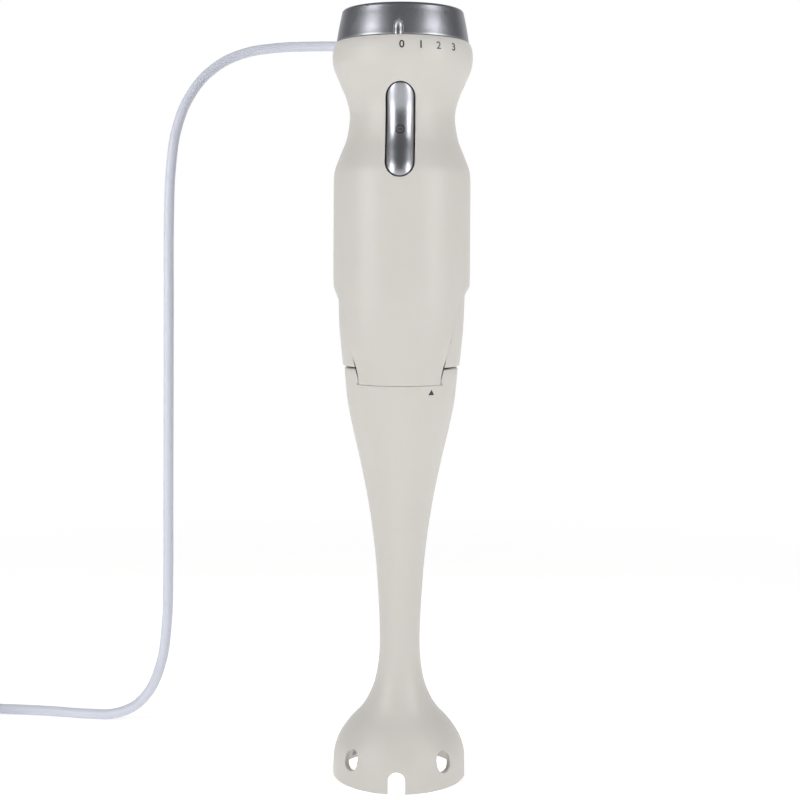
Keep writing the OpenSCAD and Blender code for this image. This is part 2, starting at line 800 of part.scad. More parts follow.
module lead_wires() {
    // two wires from the board to the brushes and two from the cord clamp to the board
    color("#9b3f38") for (s = [-1, 1]) {
        tube(curve([
            [s * 9, board_y + 3, board_low_z - 0.6],
            [s * 15, board_y + 3, board_low_z - 3],
            [s * (leg_r - 1), 5, top_bracket_z + 5],
            [s * (leg_r + 0.5), 3, top_bracket_z],
            [s * (stator_r - 4), 0, brush_z + brush_w / 2 + 1.9]], 3), 0.9, 6);
        tube(curve([
            [s * 1.3, 14.4, exit_z - 4],
            [s * 2.4, 12, exit_z - 3.6],
            [s * 5, board_y + board_t + 1, board_high_z + 0.2]], 3), 0.9, 6);
    }
}

// ---- handle's base: the socket that the arm pushes into ----
neck_in_r = 19.8;
neck_out_r = 22.8;
neck_top_z = seam_z + 11.4;
guide_in_r = neck_out_r + slack;
guide_out_r = inner_low_r - slack;
latch_half_w = 4;
// A release button: its lip lies behind the skin and its back this far behind the skin's inside.
lip = 1.5;
button_back_gap = 1.9;
function button_back_r(z) = inner_r(z) - button_back_gap;
post_x = 15;
module handle_base() {
    clear_w = recess_half_w + lip + slack;
    color("#dad7cf") difference() {
        union() {
            ring(inner_r(base_z) - slack, coupling_r + 1.4, base_z, base_z + base_t);
            ring(guide_out_r, guide_in_r, seam_z + 1, base_z);
            // posts behind the release springs
            for (s = [-1, 1])
                block([s * post_x - 1.2, -5, base_z + base_t], [s * post_x + 1.2, 5, base_z + base_t + 12.4]);
        }
        for (s = [-1, 1]) {
            // room for the buttons to be pressed
            difference() {
                block([s * half / 2 - half / 2 + s * 8, -clear_w, seam_z],
                    [s * half / 2 + half / 2 + s * 8, clear_w, base_z + base_t + cut]);
                translate([-s * release_travel, 0, base_z])
                    cylinder(r = button_back_r(base_z) - slack, h = base_t + 2 * cut);
            }
            // slots that the latch arms pass through
            block([s * 28 - 14.5, -latch_half_w - slack, base_z - cut],
                [s * 28 + 14.5, latch_half_w + slack, base_z + base_t + cut]);
        }
    }
}

module splash_seal() {
    color("#2b2c2f") turned([
        [motor_shaft_r + running, base_z + base_t], [coupling_r + 2.4, base_z + base_t],
        [coupling_r + 2.4, base_z + base_t + 1.2], [motor_shaft_r + 2.4, base_z + base_t + 2],
        [motor_shaft_r + running, base_z + base_t + 3.4]]);
}

teeth = 6;
module upper_coupling() {
    // six-lobed cup on the motor's shaft
    color("#34363a") translate([0, 0, coupling_low_z]) difference() {
        cylinder(r = coupling_r, h = coupling_h);
        translate([0, 0, coupling_h - 6]) cylinder(r = motor_shaft_r, h = 10);
        translate([0, 0, -cut]) cylinder(r = 6.2, h = 7.6 + cut);
        for (i = [0:teeth - 1]) rotate([0, 0, i * 360 / teeth])
            translate([6.4, 0, -cut]) cylinder(r = 2, h = 7.6 + cut);
    }
}

module lower_coupling() {
    // six-lobed dog on the drive spindle
    color("#4b4d52") translate([0, 0, coupling_low_z]) difference() {
        union() {
            translate([0, 0, -5]) cylinder(r = 5.9, h = 12);
            for (i = [0:teeth - 1]) rotate([0, 0, i * 360 / teeth])
                translate([6.3, 0, 0]) cylinder(r = 1.7, h = 7);
        }
        translate([0, 0, -6]) cylinder(r = drive_r, h = 10);
    }
}

// ---- release buttons ----
latch_x = 18;
catch_z = seam_z + 4.6;
latch_z = neck_top_z + 0.6;
module release_button(s) {
    back = [for (p = handle_inner) if (p[1] < ledge_z + 4) [p[0] - button_back_gap, p[1]]];
    behind_skin = [for (p = handle_inner) if (p[1] < ledge_z + 4) [p[0] - slack, p[1]]];
    side = s > 0 ? [5, 60] : [-60, -5];
    color("#d4d0c8") {
        intersection() {
            union() {
                // plate that fills the recess
                intersection() {
                    turned(concat(button_face, [[face_top_r - 6, ledge_z + 1]],
                        reversed(back)));
                    arch_prism(ledge_z - release_gap, recess_half_w - release_gap, seam_z - 5);
                }
                // lip behind the skin
                intersection() {
                    turned(concat(behind_skin, reversed(back)));
                    arch_prism(ledge_z + lip, recess_half_w + lip, seam_z - 5);
                }
            }
            block([side[0], -half, button_foot_z], [side[1], half, ledge_z + 10]);
        }
        // arm and hook that hold the neck ring
        arm_out = button_back_r(latch_z) + 0.6;
        block([s > 0 ? latch_x - 2 : -arm_out, -latch_half_w, latch_z],
            [s > 0 ? arm_out : -latch_x + 2, latch_half_w, latch_z + 2.8]);
        block([s * latch_x - 1, -latch_half_w, seam_z + 3], [s * latch_x + 1, latch_half_w, latch_z + 1]);
    }
}

module release_button_left() {
    release_button(-1);
}

module release_button_right() {
    release_button(1);
}

spring_z = base_z + base_t + 8.6;
spring_from = post_x + 1.2;
spring_len = button_back_r(spring_z - 4) - 0.3 - spring_from;
module release_spring_left() {
    color("#c4c6ca") translate([-spring_from, 0, spring_z]) rotate([0, -90, 0]) spring(3, 0.4, spring_len, 5);
}

module release_spring_right() {
    color("#c4c6ca") translate([spring_from, 0, spring_z]) rotate([0, 90, 0]) spring(3, 0.4, spring_len, 5);
}

// ---- blending arm ----
step_r = inner_low_r - slack;
collar_low_z = seam_z - 14;
hole_mid_z = 13;
module arm_housing() {
    ear = [[arm_top_r, seam_z - 1.4], [arm_top_r - 0.7, seam_z - 0.6]];
    color("#d4d0c8") difference() {
        turned(concat(arm_outer, ear, [[step_r - 2.2, seam_z - 0.6], [step_r - 2.2, collar_low_z]],
            reversed(tube_inner), [[bush_r, neck_z], [bush_r, bell_top_z]],
            reversed(bell_inner), [[bell_r - bell_wall, 0]]));
        // step that the handle's tongues cover
        difference() {
            ring(arm_top_r + 5, step_r, tongue_z - 0.25, seam_z + cut);
            arch_prism(ledge_z, recess_half_w - slack, tongue_z - 5);
        }
        // notches in the rim
        for (a = [0:90:359]) rotate([0, 0, a]) {
            translate([0, 0, notch_h - notch_w / 2]) rotate([90, 0, 0]) cylinder(d = notch_w, h = bell_r + 5);
            block([-notch_w / 2, -bell_r - 5, -cut], [notch_w / 2, 0, notch_h - notch_w / 2]);
        }
        // oval holes between them
        for (a = [45:90:359]) rotate([0, 0, a]) for (k = [-1, 1])
            translate([0, 0, hole_mid_z + k * (hole_h - hole_w) / 2]) rotate([90, 0, 0])
                cylinder(d = hole_w, h = bell_r + 5);
    }
}

module locking_collar() {
    // neck ring with the windows that the release hooks catch in
    color("#dedbd3") difference() {
        union() {
            ring(step_r - 2.2 - running, drive_r + 3.5, collar_low_z, collar_low_z + 3);
            ring(neck_out_r, neck_in_r, collar_low_z + 2, neck_top_z);
        }
        for (s = [-1, 1])
            block([s * 22 - 4, -latch_half_w - 1, catch_z - 2.6], [s * 22 + 4, latch_half_w + 1, catch_z + 2]);
    }
}

module upper_bush() {
    color("#b89a5c") {
        ring(drive_r + 3.5, drive_r + running, collar_low_z - 3, collar_low_z + 3);
        ring(drive_r + 5, drive_r + running, collar_low_z - 4.5, collar_low_z - 3);
    }
}

module lower_bush() {
    color("#b89a5c") ring(bush_r, drive_r + running, bell_top_z + 3, neck_z - 12);
}

module shaft_seal() {
    color("#7d2f2c") {
        turned([[drive_r + running, bell_top_z + 1], [bush_r, bell_top_z - 1], [bush_r, bell_top_z + 3],
            [drive_r + running, bell_top_z + 3]]);
    }
}

clip_z = neck_z - 12;
module circlip() {
    color("#8d9095") difference() {
        ring(drive_r + 2.4, drive_r, clip_z, clip_z + 0.8);
        block([0, -1.2, clip_z - cut], [10, 1.2, clip_z + 2]);
    }
}

module drive_spindle() {
    color("#c3c5c9") translate([0, 0, blade_z - 3])
        cylinder(r = drive_r, h = coupling_low_z + 4 - blade_z + 3);
}

hub_r = 6;
module blade_hub() {
    color("#e2e0da") turned([
        [drive_r, blade_z + blade_t], [hub_r, blade_z + blade_t], [hub_r - 0.6, blade_z + 9],
        [drive_r + 1.8, bell_top_z - 3.4], [drive_r, bell_top_z - 3.4]]);
}

module blade() {
    // two wings whose tips are bent, one up and one down
    wing_w = 11;
    reach = sqrt(blade_r * blade_r - wing_w * wing_w / 4);
    bend_x = reach - 6.4;
    under = [[-reach, blade_z - 3], [-bend_x, blade_z], [bend_x, blade_z], [reach, blade_z + 4.5]];
    color("#cfd1d4") intersection() {
        translate([0, hub_r + cut, 0]) rotate([90, 0, 0])
            linear_extrude(height = 2 * (hub_r + cut))
                polygon(concat(under, reversed(moved(under, -blade_t))));
        linear_extrude(height = bell_top_z) difference() {
            union() {
                square([2 * reach, wing_w], center = true);
                circle(r = hub_r);
            }
            circle(r = drive_r);
        }
    }
}

module blade_nut() {
    color("#b7babf") difference() {
        translate([0, 0, blade_z - 3.4]) cylinder(r = 5, h = 3.4, $fn = 6);
        cylinder_at(drive_r, blade_z - 3, blade_z + cut);
    }
}

front_housing();
rear_housing();
housing_screws();
dial_seat();
detent_spring();
speed_dial();
dial_spindle();
speed_switch();
power_button();
button_spring();
start_switch();
circuit_board();
board_components();
heat_sink();
strain_relief();
cord_clamp();
cord_lead();
cord_coil();
cord_tie();
cord_tail();
plug_body();
plug_pins();
motor_stator();
field_coils();
motor_bottom_bracket();
motor_top_bracket();
motor_screws();
bottom_bearing();
top_bearing();
armature_core();
armature_windings();
commutator();
rotor_shaft();
cooling_fan();
brush_holders();
carbon_brushes();
brush_springs();
motor_mount_rings();
lead_wires();
handle_base();
splash_seal();
upper_coupling();
lower_coupling();
release_button_left();
release_button_right();
release_spring_left();
release_spring_right();
arm_housing();
locking_collar();
upper_bush();
lower_bush();
shaft_seal();
circlip();
drive_spindle();
blade_hub();
blade();
blade_nut();
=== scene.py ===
# %% [markdown]
# # A hand-held immersion blender
# The real object is a moulded handle with a motor, a click-in blending arm that ends in a bell,
# and a mains cord. The CAD frame holds every piece in its true place. This lesson gives the
# pieces that are seen their final form and finish, one piece at a time.

# %% Load the frame
import bpy
import bmesh
import math
from mathutils import Matrix, Vector


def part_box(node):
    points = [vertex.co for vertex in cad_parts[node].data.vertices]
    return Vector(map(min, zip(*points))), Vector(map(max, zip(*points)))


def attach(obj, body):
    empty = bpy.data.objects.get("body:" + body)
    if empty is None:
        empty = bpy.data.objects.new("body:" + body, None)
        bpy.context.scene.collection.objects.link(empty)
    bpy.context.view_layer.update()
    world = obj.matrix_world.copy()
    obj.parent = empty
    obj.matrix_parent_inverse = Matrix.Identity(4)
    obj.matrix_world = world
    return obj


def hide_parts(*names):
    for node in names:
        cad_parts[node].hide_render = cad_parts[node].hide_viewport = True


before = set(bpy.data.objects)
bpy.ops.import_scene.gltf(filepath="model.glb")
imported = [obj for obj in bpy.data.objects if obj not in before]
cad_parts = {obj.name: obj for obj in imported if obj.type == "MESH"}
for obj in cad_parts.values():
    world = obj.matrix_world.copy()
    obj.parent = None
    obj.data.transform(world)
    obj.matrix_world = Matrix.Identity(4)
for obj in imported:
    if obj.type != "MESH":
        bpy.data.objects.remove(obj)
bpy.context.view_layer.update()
MM = 0.001


# %% [markdown]
# ## Heights that the pieces share
# Every height hangs on two of the frame's own faces: the foot of a release button, just above
# the seam between arm and handle, and the lower edge of the dial. Measuring them from the
# frame keeps the looks and the mechanism together.

# %% Main heights, in millimetres
seam_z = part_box("release_button_right")[0][2] / MM - 0.7
top_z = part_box("speed_dial")[0][2] / MM - 0.2
dial_top_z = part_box("speed_dial")[1][2] / MM
tongue_z = seam_z - 8.1
ledge_z = seam_z + 40.2
waist_z = top_z - 38
slot_z = waist_z - 7.3
print("seam", round(seam_z, 2), "handle top", round(top_z, 2), "dial top", round(dial_top_z, 2))


# %% [markdown]
# ## Camera
# The blender stands a little below eye level and is seen from close by, so its long body shows
# mild perspective. A level camera keeps the sides of the handle upright. Part of the framing
# comes from lens shift and the rest from tilting down, so that other views stay centred.

# %% Camera
CAMERA_DISTANCE = 745 * MM
CAMERA_HEIGHT = 260 * MM
CAMERA_AZIMUTH = math.radians(2.2)
CAMERA_YAW = math.radians(0.06)
CAMERA_TILT = math.radians(1.19)
CAMERA_ROLL = math.radians(0.3)
bpy.ops.object.select_all(action="DESELECT")
bpy.ops.object.camera_add(location=(
    CAMERA_DISTANCE * math.sin(CAMERA_AZIMUTH), -CAMERA_DISTANCE * math.cos(CAMERA_AZIMUTH), CAMERA_HEIGHT))
camera = bpy.context.object
turn_to_object = Matrix.Rotation(CAMERA_AZIMUTH + CAMERA_YAW, 4, "Z")
tilt_down = Matrix.Rotation(math.pi / 2 - CAMERA_TILT, 4, "X")
roll = Matrix.Rotation(CAMERA_ROLL, 4, "Z")
camera.rotation_euler = (turn_to_object @ tilt_down @ roll).to_euler()
camera.data.sensor_width = 36
camera.data.lens = 66.5
camera.data.shift_y = -0.138
bpy.context.scene.camera = camera
bpy.context.scene.view_settings.view_transform = "Standard"
print("camera", [round(v, 4) for v in camera.location], "lens", camera.data.lens)


# %% [markdown]
# ## Smooth outlines
# A turned shape is drawn as a few points of radius and height. A smooth curve through them
# gives the fine outline that is later spun round the axis. The same curve, with three
# coordinates, makes the route of the cord.

# %% Curve helpers
def smooth_curve(points, steps):
    """A smooth curve through points, with a number of steps between two of them."""
    pts = [Vector(p) for p in points]
    out = []
    for i in range(len(pts) - 1):
        a, b, c, d = pts[max(i - 1, 0)], pts[i], pts[i + 1], pts[min(i + 2, len(pts) - 1)]
        for k in range(steps):
            t = k / steps
            out.append(0.5 * (2 * b + (c - a) * t + (2 * a - 5 * b + 4 * c - d) * t * t
                              + (3 * b - a - 3 * c + d) * t ** 3))
    return out + [pts[-1]]


def moved_sideways(outline, distance):
    """The outline moved to the right of the way that it runs."""
    out = []
    for i, p in enumerate(outline):
        along = (outline[min(i + 1, len(outline) - 1)] - outline[max(i - 1, 0)]).normalized()
        out.append(p + distance * Vector((along.y, -along.x)))
    return out


def radius_at(outline, z):
    """The outline's radius at height z."""
    for p, q in zip(outline, outline[1:]):
        if p.y <= z <= q.y:
            return p.x + (q.x - p.x) * (z - p.y) / max(q.y - p.y, 1e-9)
    return outline[-1].x


# %% [markdown]
# ## The mains cord
# A light two-core cord of 5.5 mm leaves the back of the handle through a ribbed boot. It comes
# round the side in one loose bow, hangs down under its own weight and runs along the floor.
# What is left over is wound into a neat coil, as for storage, with the plug beside it. One open
# spline holds all of it, so its length can be measured.

# %% Route of the cord, in millimetres
CORD_D = 5.5
exit_mid = Vector((0, 32, top_z - 13))
exit_way = Vector((-0.3, 0.85, 0.43)).normalized()
RELIEF_LEN = 30
relief_tip = exit_mid + RELIEF_LEN * exit_way
hanging = [relief_tip - 12 * exit_way, relief_tip, relief_tip + 4 * exit_way,
           (-14, 69, 374), (-23, 80, 377.6), (-38, 87, 379.2), (-56, 88, 379.3), (-75, 85, 378),
           (-93, 80, 374), (-108, 74, 365), (-119, 68, 351), (-126, 64, 333), (-129, 61, 311),
           (-130, 60, 280), (-130, 60, 240), (-130, 60, 200), (-130, 60, 160), (-130, 60, 120),
           (-130, 60, 84), (-131, 61, 58), (-135, 63, 34), (-145, 67, 15), (-160, 72, 5),
           (-178, 76, 2.8), (-200, 79.6, 2.8), (-225, 82, 2.8), (-246, 82.7, 2.8)]
COIL_X, COIL_Y = -262, 51
COIL_OUTER, COIL_INNER, COIL_MIDDLE = 31.75, 26.2, 29


def coil_point(angle):
    """A point of the winding: an outer turn, an inner turn beside it, and a last turn on top."""
    turned = angle - 90
    r = COIL_OUTER
    z = CORD_D / 2 + 0.05
    if turned > 250:
        r = COIL_OUTER - (COIL_OUTER - COIL_INNER) * min(1, (turned - 250) / 80)
    if turned > 610:
        r = COIL_INNER + (COIL_MIDDLE - COIL_INNER) * min(1, (turned - 610) / 80)
        z += (3 * CORD_D / 2 + 0.2 - CORD_D / 2 - 0.05) * min(1, (turned - 610) / 80)
    a = math.radians(angle)
    return Vector((COIL_X + r * math.cos(a), COIL_Y + r * math.sin(a), z))


COIL_LAST_ANGLE = 180 + 3 * 360
winding = [coil_point(angle) for angle in range(90, COIL_LAST_ANGLE, 15)]
plug_x = COIL_X - COIL_MIDDLE
PLUG_BACK_Y = 9
PLUG_MID_Z = 12.5
tail = [(plug_x, COIL_Y, 8.45), (plug_x, COIL_Y - 14, 8.75), (plug_x, COIL_Y - 24, 10.5),
        (plug_x, COIL_Y - 34, 12), (plug_x, PLUG_BACK_Y, PLUG_MID_Z), (plug_x, PLUG_BACK_Y - 4, PLUG_MID_Z)]
route = [Vector(p) * MM for p in hanging] + [p * MM for p in winding] + [Vector(p) * MM for p in tail]


# %% The cord itself
cord_curve = bpy.data.curves.new("mains_cord", "CURVE")
cord_curve.dimensions = "3D"
cord_curve.bevel_depth = CORD_D / 2 * MM
cord_curve.bevel_resolution = 4
cord_curve.use_fill_caps = True
cord_curve.resolution_u = 4
spline = cord_curve.splines.new("BEZIER")
spline.bezier_points.add(len(route) - 1)
for point, place in zip(spline.bezier_points, route):
    point.co = place
    point.handle_left_type = point.handle_right_type = "AUTO"
mains_cord = bpy.data.objects.new("mains_cord", cord_curve)
bpy.context.scene.collection.objects.link(mains_cord)
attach(mains_cord, "handle")
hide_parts("cord_lead", "cord_coil", "cord_tail")


# %% [markdown]
# ## Turning and cutting
# Most of this object is turned: the outline is drawn point by point with extrude, and spun
# round the axis. Openings are cut with a long round-ended cutter. A cylinder whose upper half
# is moved up becomes a slot of any height, so one helper serves the start button's opening,
# the recesses of the release buttons, and the notches and ovals of the bell.

# %% Helpers for modelling with operators
def only(piece):
    bpy.ops.object.select_all(action="DESELECT")
    piece.select_set(True)
    bpy.context.view_layer.objects.active = piece


def place_in_mesh(piece):
    """Moves the object's place, turn and size into its mesh."""
    only(piece)
    bpy.ops.object.transform_apply(location=True, rotation=True, scale=True)


def started(name):
    """Names the primitive that was just added, with its place in its mesh."""
    piece = bpy.context.object
    piece.name = piece.data.name = name
    place_in_mesh(piece)
    return piece


def in_edit(piece, mode="VERT"):
    only(piece)
    bpy.ops.object.mode_set(mode="EDIT")
    bpy.ops.mesh.select_mode(type=mode)
    bpy.ops.mesh.select_all(action="DESELECT")
    return bmesh.from_edit_mesh(piece.data)


def select_where(piece, test, kind="verts"):
    """Selects the vertices, edges or faces that pass the test, in edit mode."""
    mesh = bmesh.from_edit_mesh(piece.data)
    for item in getattr(mesh, kind):
        item.select_set(bool(test(item)))
    if kind != "faces":
        mesh.select_flush(True)
    bmesh.update_edit_mesh(piece.data)
    return sum(item.select for item in getattr(mesh, kind))


def object_mode():
    bpy.ops.object.mode_set(mode="OBJECT")


def turned(name, outline, steps=128, closed=True):
    """Draws the outline of (radius, height) in mm with extrude, and spins it round the axis."""
    points = [Vector((p[0] * MM, 0, p[1] * MM)) for p in outline]
    if closed:
        points.append(points[0])
    bpy.ops.object.select_all(action="DESELECT")
    bpy.ops.mesh.primitive_plane_add(size=0.01)
    piece = started(name)
    in_edit(piece)
    bpy.ops.mesh.select_all(action="SELECT")
    bpy.ops.mesh.merge(type="CENTER")
    bpy.ops.transform.translate(value=points[0])
    for here, there in zip(points, points[1:]):
        bpy.ops.mesh.extrude_region_move(TRANSFORM_OT_translate={"value": there - here})
    bpy.ops.mesh.select_all(action="SELECT")
    bpy.ops.mesh.remove_doubles(threshold=1e-7)
    bpy.ops.mesh.select_all(action="SELECT")
    bpy.ops.mesh.spin(steps=steps, angle=2 * math.pi, center=(0, 0, 0), axis=(0, 0, 1))
    bpy.ops.mesh.select_all(action="SELECT")
    bpy.ops.mesh.remove_doubles(threshold=2e-7)
    bpy.ops.mesh.select_all(action="SELECT")
    bpy.ops.mesh.normals_make_consistent(inside=False)
    object_mode()
    return piece


def slot_cutter(width, height, middle, facing=0, depth=60, along=0):
    """A round-ended bar that runs outwards at an angle from -Y, its middle at height z."""
    sides = 64
    out = Matrix.Rotation(facing, 4, "Z") @ Vector((0, -1, 0))
    bpy.ops.object.select_all(action="DESELECT")
    bpy.ops.mesh.primitive_cylinder_add(vertices=sides, radius=width / 2 * MM, depth=depth * MM)
    cutter = started("cutter")
    cutter.matrix_world = (
        Matrix.Translation(out * (along + depth / 2) * MM + Vector((0, 0, middle * MM)))
        @ Matrix.Rotation(facing, 4, "Z") @ Matrix.Rotation(math.pi / 2, 4, "X")
        @ Matrix.Rotation(math.pi / sides, 4, "Z"))
    place_in_mesh(cutter)
    in_edit(cutter)
    lift = (height - width) / 2 * MM
    select_where(cutter, lambda v: v.co.z > middle * MM)
    bpy.ops.transform.translate(value=(0, 0, lift))
    select_where(cutter, lambda v: v.co.z < middle * MM)
    bpy.ops.transform.translate(value=(0, 0, -lift))
    object_mode()
    return cutter


def combine(piece, other, operation="DIFFERENCE"):
    """Cuts, joins or intersects piece with other, which is used up."""
    only(piece)
    bpy.ops.object.modifier_add(type="BOOLEAN")
    boolean = piece.modifiers[-1]
    boolean.object = other
    boolean.operation = operation
    boolean.solver = "EXACT"
    bpy.ops.object.modifier_apply(modifier=boolean.name)
    bpy.data.objects.remove(other, do_unlink=True)
    return piece


def cut_flat(piece, point, normal):
    """Takes away what lies past a plane on the side of its normal, and closes the cut."""
    in_edit(piece)
    bpy.ops.mesh.select_all(action="SELECT")
    bpy.ops.mesh.bisect(plane_co=Vector(point) * MM, plane_no=normal, use_fill=True, clear_outer=True)
    object_mode()
    return piece


def box(name, low, high):
    low, high = Vector(low) * MM, Vector(high) * MM
    bpy.ops.object.select_all(action="DESELECT")
    bpy.ops.mesh.primitive_cube_add(size=1, location=(low + high) / 2, scale=high - low)
    return started(name)


def ease_edges(piece, width, angle=40, segments=2):
    """Rounds the sharp edges a little, as a mould or a polish does, and shades the rest smooth."""
    only(piece)
    bpy.ops.object.modifier_add(type="BEVEL")
    bevel = piece.modifiers[-1]
    bevel.width = width * MM
    bevel.segments = segments
    bevel.limit_method = "ANGLE"
    bevel.angle_limit = math.radians(angle)
    bevel.use_clamp_overlap = False
    bevel.miter_outer = "MITER_ARC"
    bpy.ops.object.modifier_apply(modifier=bevel.name)
    smooth_faces(piece)


def smooth_faces(piece, angle=38):
    only(piece)
    bpy.ops.object.shade_smooth_by_angle(angle=math.radians(angle))


def report(piece):
    mesh = bmesh.new()
    mesh.from_mesh(piece.data)
    open_edges = sum(len(e.link_faces) != 2 for e in mesh.edges)
    print(piece.name, len(mesh.faces), "faces,", open_edges, "open edges,",
          round(mesh.calc_volume() / MM ** 3), "mm3")
    mesh.free()


# %% [markdown]
# ## Handle shells
# The handle is two half shells of satin plastic, screwed together from the back. Both come from
# one turned wall. The openings are cut first, and then the wall is bisected into front and rear,
# so their edges meet exactly. A small eased edge leaves the fine parting line of a real shell.

# %% Outlines of the handle, in millimetres
SHELL_WALL = 2.2
GRIP_R = 34.4
handle_low = smooth_curve([(28.25, tongue_z), (29.3, seam_z), (31.9, ledge_z - 29), (33.3, ledge_z - 16),
                           (34.1, ledge_z - 5), (34.4, ledge_z + 6)], 5)
handle_high = smooth_curve([(34.4, top_z - 70), (33.9, top_z - 64), (31.4, top_z - 57), (28, waist_z - 10),
                            (26.4, waist_z + 1), (28, waist_z + 9.5), (31.4, top_z - 20.3),
                            (34.6, top_z - 12.4), (35.2, top_z - 6.5), (34.6, top_z - 2.2),
                            (33.5, top_z - 0.1)], 5)
handle_outer = handle_low + handle_high
inner_high = [p for p in moved_sideways(handle_high, -SHELL_WALL) if p.y < top_z - 9]
handle_inner = ([Vector((26.05, tongue_z))]
                + [p for p in moved_sideways(handle_low, -SHELL_WALL) if p.y > tongue_z + 1]
                + inner_high
                + [Vector((31, top_z - 7)), Vector((31, top_z - 0.1))])
RECESS_HALF_W = 20


def handle_wall(name):
    """The turned wall with the openings that the buttons fill."""
    wall = turned(name, handle_outer + handle_inner[::-1], steps=160)
    for side in (-1, 1):
        recess = slot_cutter(2 * RECESS_HALF_W, 90, ledge_z - 45, facing=side * math.pi / 2, along=14)
        combine(wall, recess)
    return wall


# %% Front shell
SLOT_W, SLOT_H = 14.6, 46.4
front_shell = handle_wall("front_shell")
combine(front_shell, slot_cutter(SLOT_W, SLOT_H, slot_z))
cut_flat(front_shell, (0, 0, 0), (0, 1, 0))
ease_edges(front_shell, 0.14)
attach(front_shell, "handle")
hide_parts("front_housing")
report(front_shell)

# %% Rear shell, with the seat of the boot and the holes for the two screws
rear_shell = handle_wall("rear_shell")
cut_flat(rear_shell, (0, 0, 0), (0, -1, 0))
bpy.ops.object.select_all(action="DESELECT")
bpy.ops.mesh.primitive_cylinder_add(vertices=64, radius=5.2 * MM, depth=34 * MM)
seat_hole = started("seat_hole")
seat_hole.matrix_world = Matrix.Translation((exit_mid + 3 * exit_way) * MM) @ exit_way.to_track_quat("Z", "Y").to_matrix().to_4x4()
place_in_mesh(seat_hole)
combine(rear_shell, seat_hole)
SCREW_X = 18.8
for side in (-1, 1):
    bpy.ops.object.select_all(action="DESELECT")
    bpy.ops.mesh.primitive_cylinder_add(vertices=48, radius=2.6 * MM, depth=30 * MM, rotation=(math.pi / 2, 0, 0),
                                        location=(side * SCREW_X * MM, 28 * MM, (waist_z + 6) * MM))
    combine(rear_shell, started("screw_hole"))
ease_edges(rear_shell, 0.14)
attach(rear_shell, "handle")
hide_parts("rear_housing")
report(rear_shell)


# %% [markdown]
# ## Release buttons
# One soft-edged button sits in each side recess, a little under the skin, and is pressed to let
# the arm go. It is a piece of a second turned wall, cut to the recess's own round-topped form
# less a small gap. Behind it an arm and a hook catch the neck of the blending arm.

# %% Release buttons
face_points = [(29.3, seam_z), (30.6, seam_z + 12.6), (31.35, ledge_z - 18), (31.95, ledge_z + 1)]
button_face = smooth_curve(face_points, 5)
button_back = [Vector((p.x - 1.9, p.y)) for p in handle_inner if p.y < ledge_z + 4]
button_foot_z = seam_z + 0.4
RELEASE_GAP = 0.12
LATCH_Z = seam_z + 12
arm_out = radius_at(button_back, LATCH_Z) + 0.6
for side, body in ((-1, "left_release"), (1, "right_release")):
    name = body + "_button"
    button = turned(name, button_face + [Vector((26, ledge_z + 1))] + button_back[::-1], steps=160)
    form = slot_cutter(2 * (RECESS_HALF_W - RELEASE_GAP), 88, ledge_z - RELEASE_GAP - 44,
                       facing=side * math.pi / 2, along=5)
    combine(button, form, "INTERSECT")
    cut_flat(button, (0, 0, button_foot_z), (0, 0, -1))
    for near, far, low, high in ((16, arm_out, LATCH_Z, LATCH_Z + 2.8), (17, 19, seam_z + 3, LATCH_Z + 1)):
        ends = sorted((side * near, side * far))
        combine(button, box("latch", (ends[0], -4, low), (ends[1], 4, high)), "UNION")
    ease_edges(button, 0.2, segments=3)
    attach(button, body)
    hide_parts("release_button_" + ("left" if side < 0 else "right"))
    report(button)


# %% [markdown]
# ## Speed dial
# A cap of cast metal with a satin finish turns on the top of the handle through four steps. Its
# edge is rounded, and a bullet-shaped scoop at the lower edge points at the numbers. The cap is
# turned, and the scoop is cut with a tilted rod that has a round end.

# %% Dial
low, high = top_z + 0.2, dial_top_z
dial_outline = ([(33.2, low), (33.25, low + 0.4), (33.05, low + 1.2)]
                + [(33.05 - 2.45 * t - 0.15 * t * (t - 1) * 4, low + 1.2 + (high - 1.9 - low - 1.2) * t)
                   for t in (0.2, 0.4, 0.6, 0.8, 1)]
                + [(28.7 + 1.9 * math.cos(math.radians(a)), high - 1.9 + 1.75 * math.sin(math.radians(a)))
                   for a in range(10, 91, 10)]
                + [(21.2, high - 0.12), (10, high - 0.04), (0, high), (0, high - 2.4), (26.2, high - 2.6),
                   (28.4, high - 4.2), (31, low)])
dial_cap = turned("dial_cap", dial_outline, steps=192)
bpy.ops.object.select_all(action="DESELECT")
bpy.ops.mesh.primitive_uv_sphere_add(segments=48, ring_count=24, radius=2.5 * MM)
scoop = started("scoop")
in_edit(scoop)
select_where(scoop, lambda v: v.co.z < 0)
bpy.ops.transform.translate(value=(0, 0, -14 * MM))
select_where(scoop, lambda v: v.co.z > 0)
bpy.ops.transform.resize(value=(1, 1, 1.7), center_override=(0, 0, 0))
object_mode()
scoop.matrix_world = (Matrix.Rotation(math.radians(-1.7), 4, "Z")
                      @ Matrix.Translation(Vector((0, -34.3, low - 0.5)) * MM)
                      @ Matrix.Rotation(math.radians(-14), 4, "X")
                      @ Matrix.Translation(Vector((0, 0, 3.5 * MM))))
place_in_mesh(scoop)
combine(dial_cap, scoop)
ease_edges(dial_cap, 0.15, angle=45)
bpy.ops.object.select_all(action="DESELECT")
bpy.ops.mesh.primitive_cylinder_add(vertices=48, radius=7 * MM, depth=13 * MM, location=(0, 0, (high - 9) * MM))
dial_boss = started("dial_boss")
bpy.ops.mesh.primitive_cylinder_add(vertices=48, radius=3 * MM, depth=12 * MM, location=(0, 0, (high - 11) * MM))
combine(dial_boss, started("dial_bore"))
ease_edges(dial_boss, 0.2)
for piece in (dial_cap, dial_boss):
    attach(piece, "dial")
    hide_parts("speed_dial")
    report(piece)


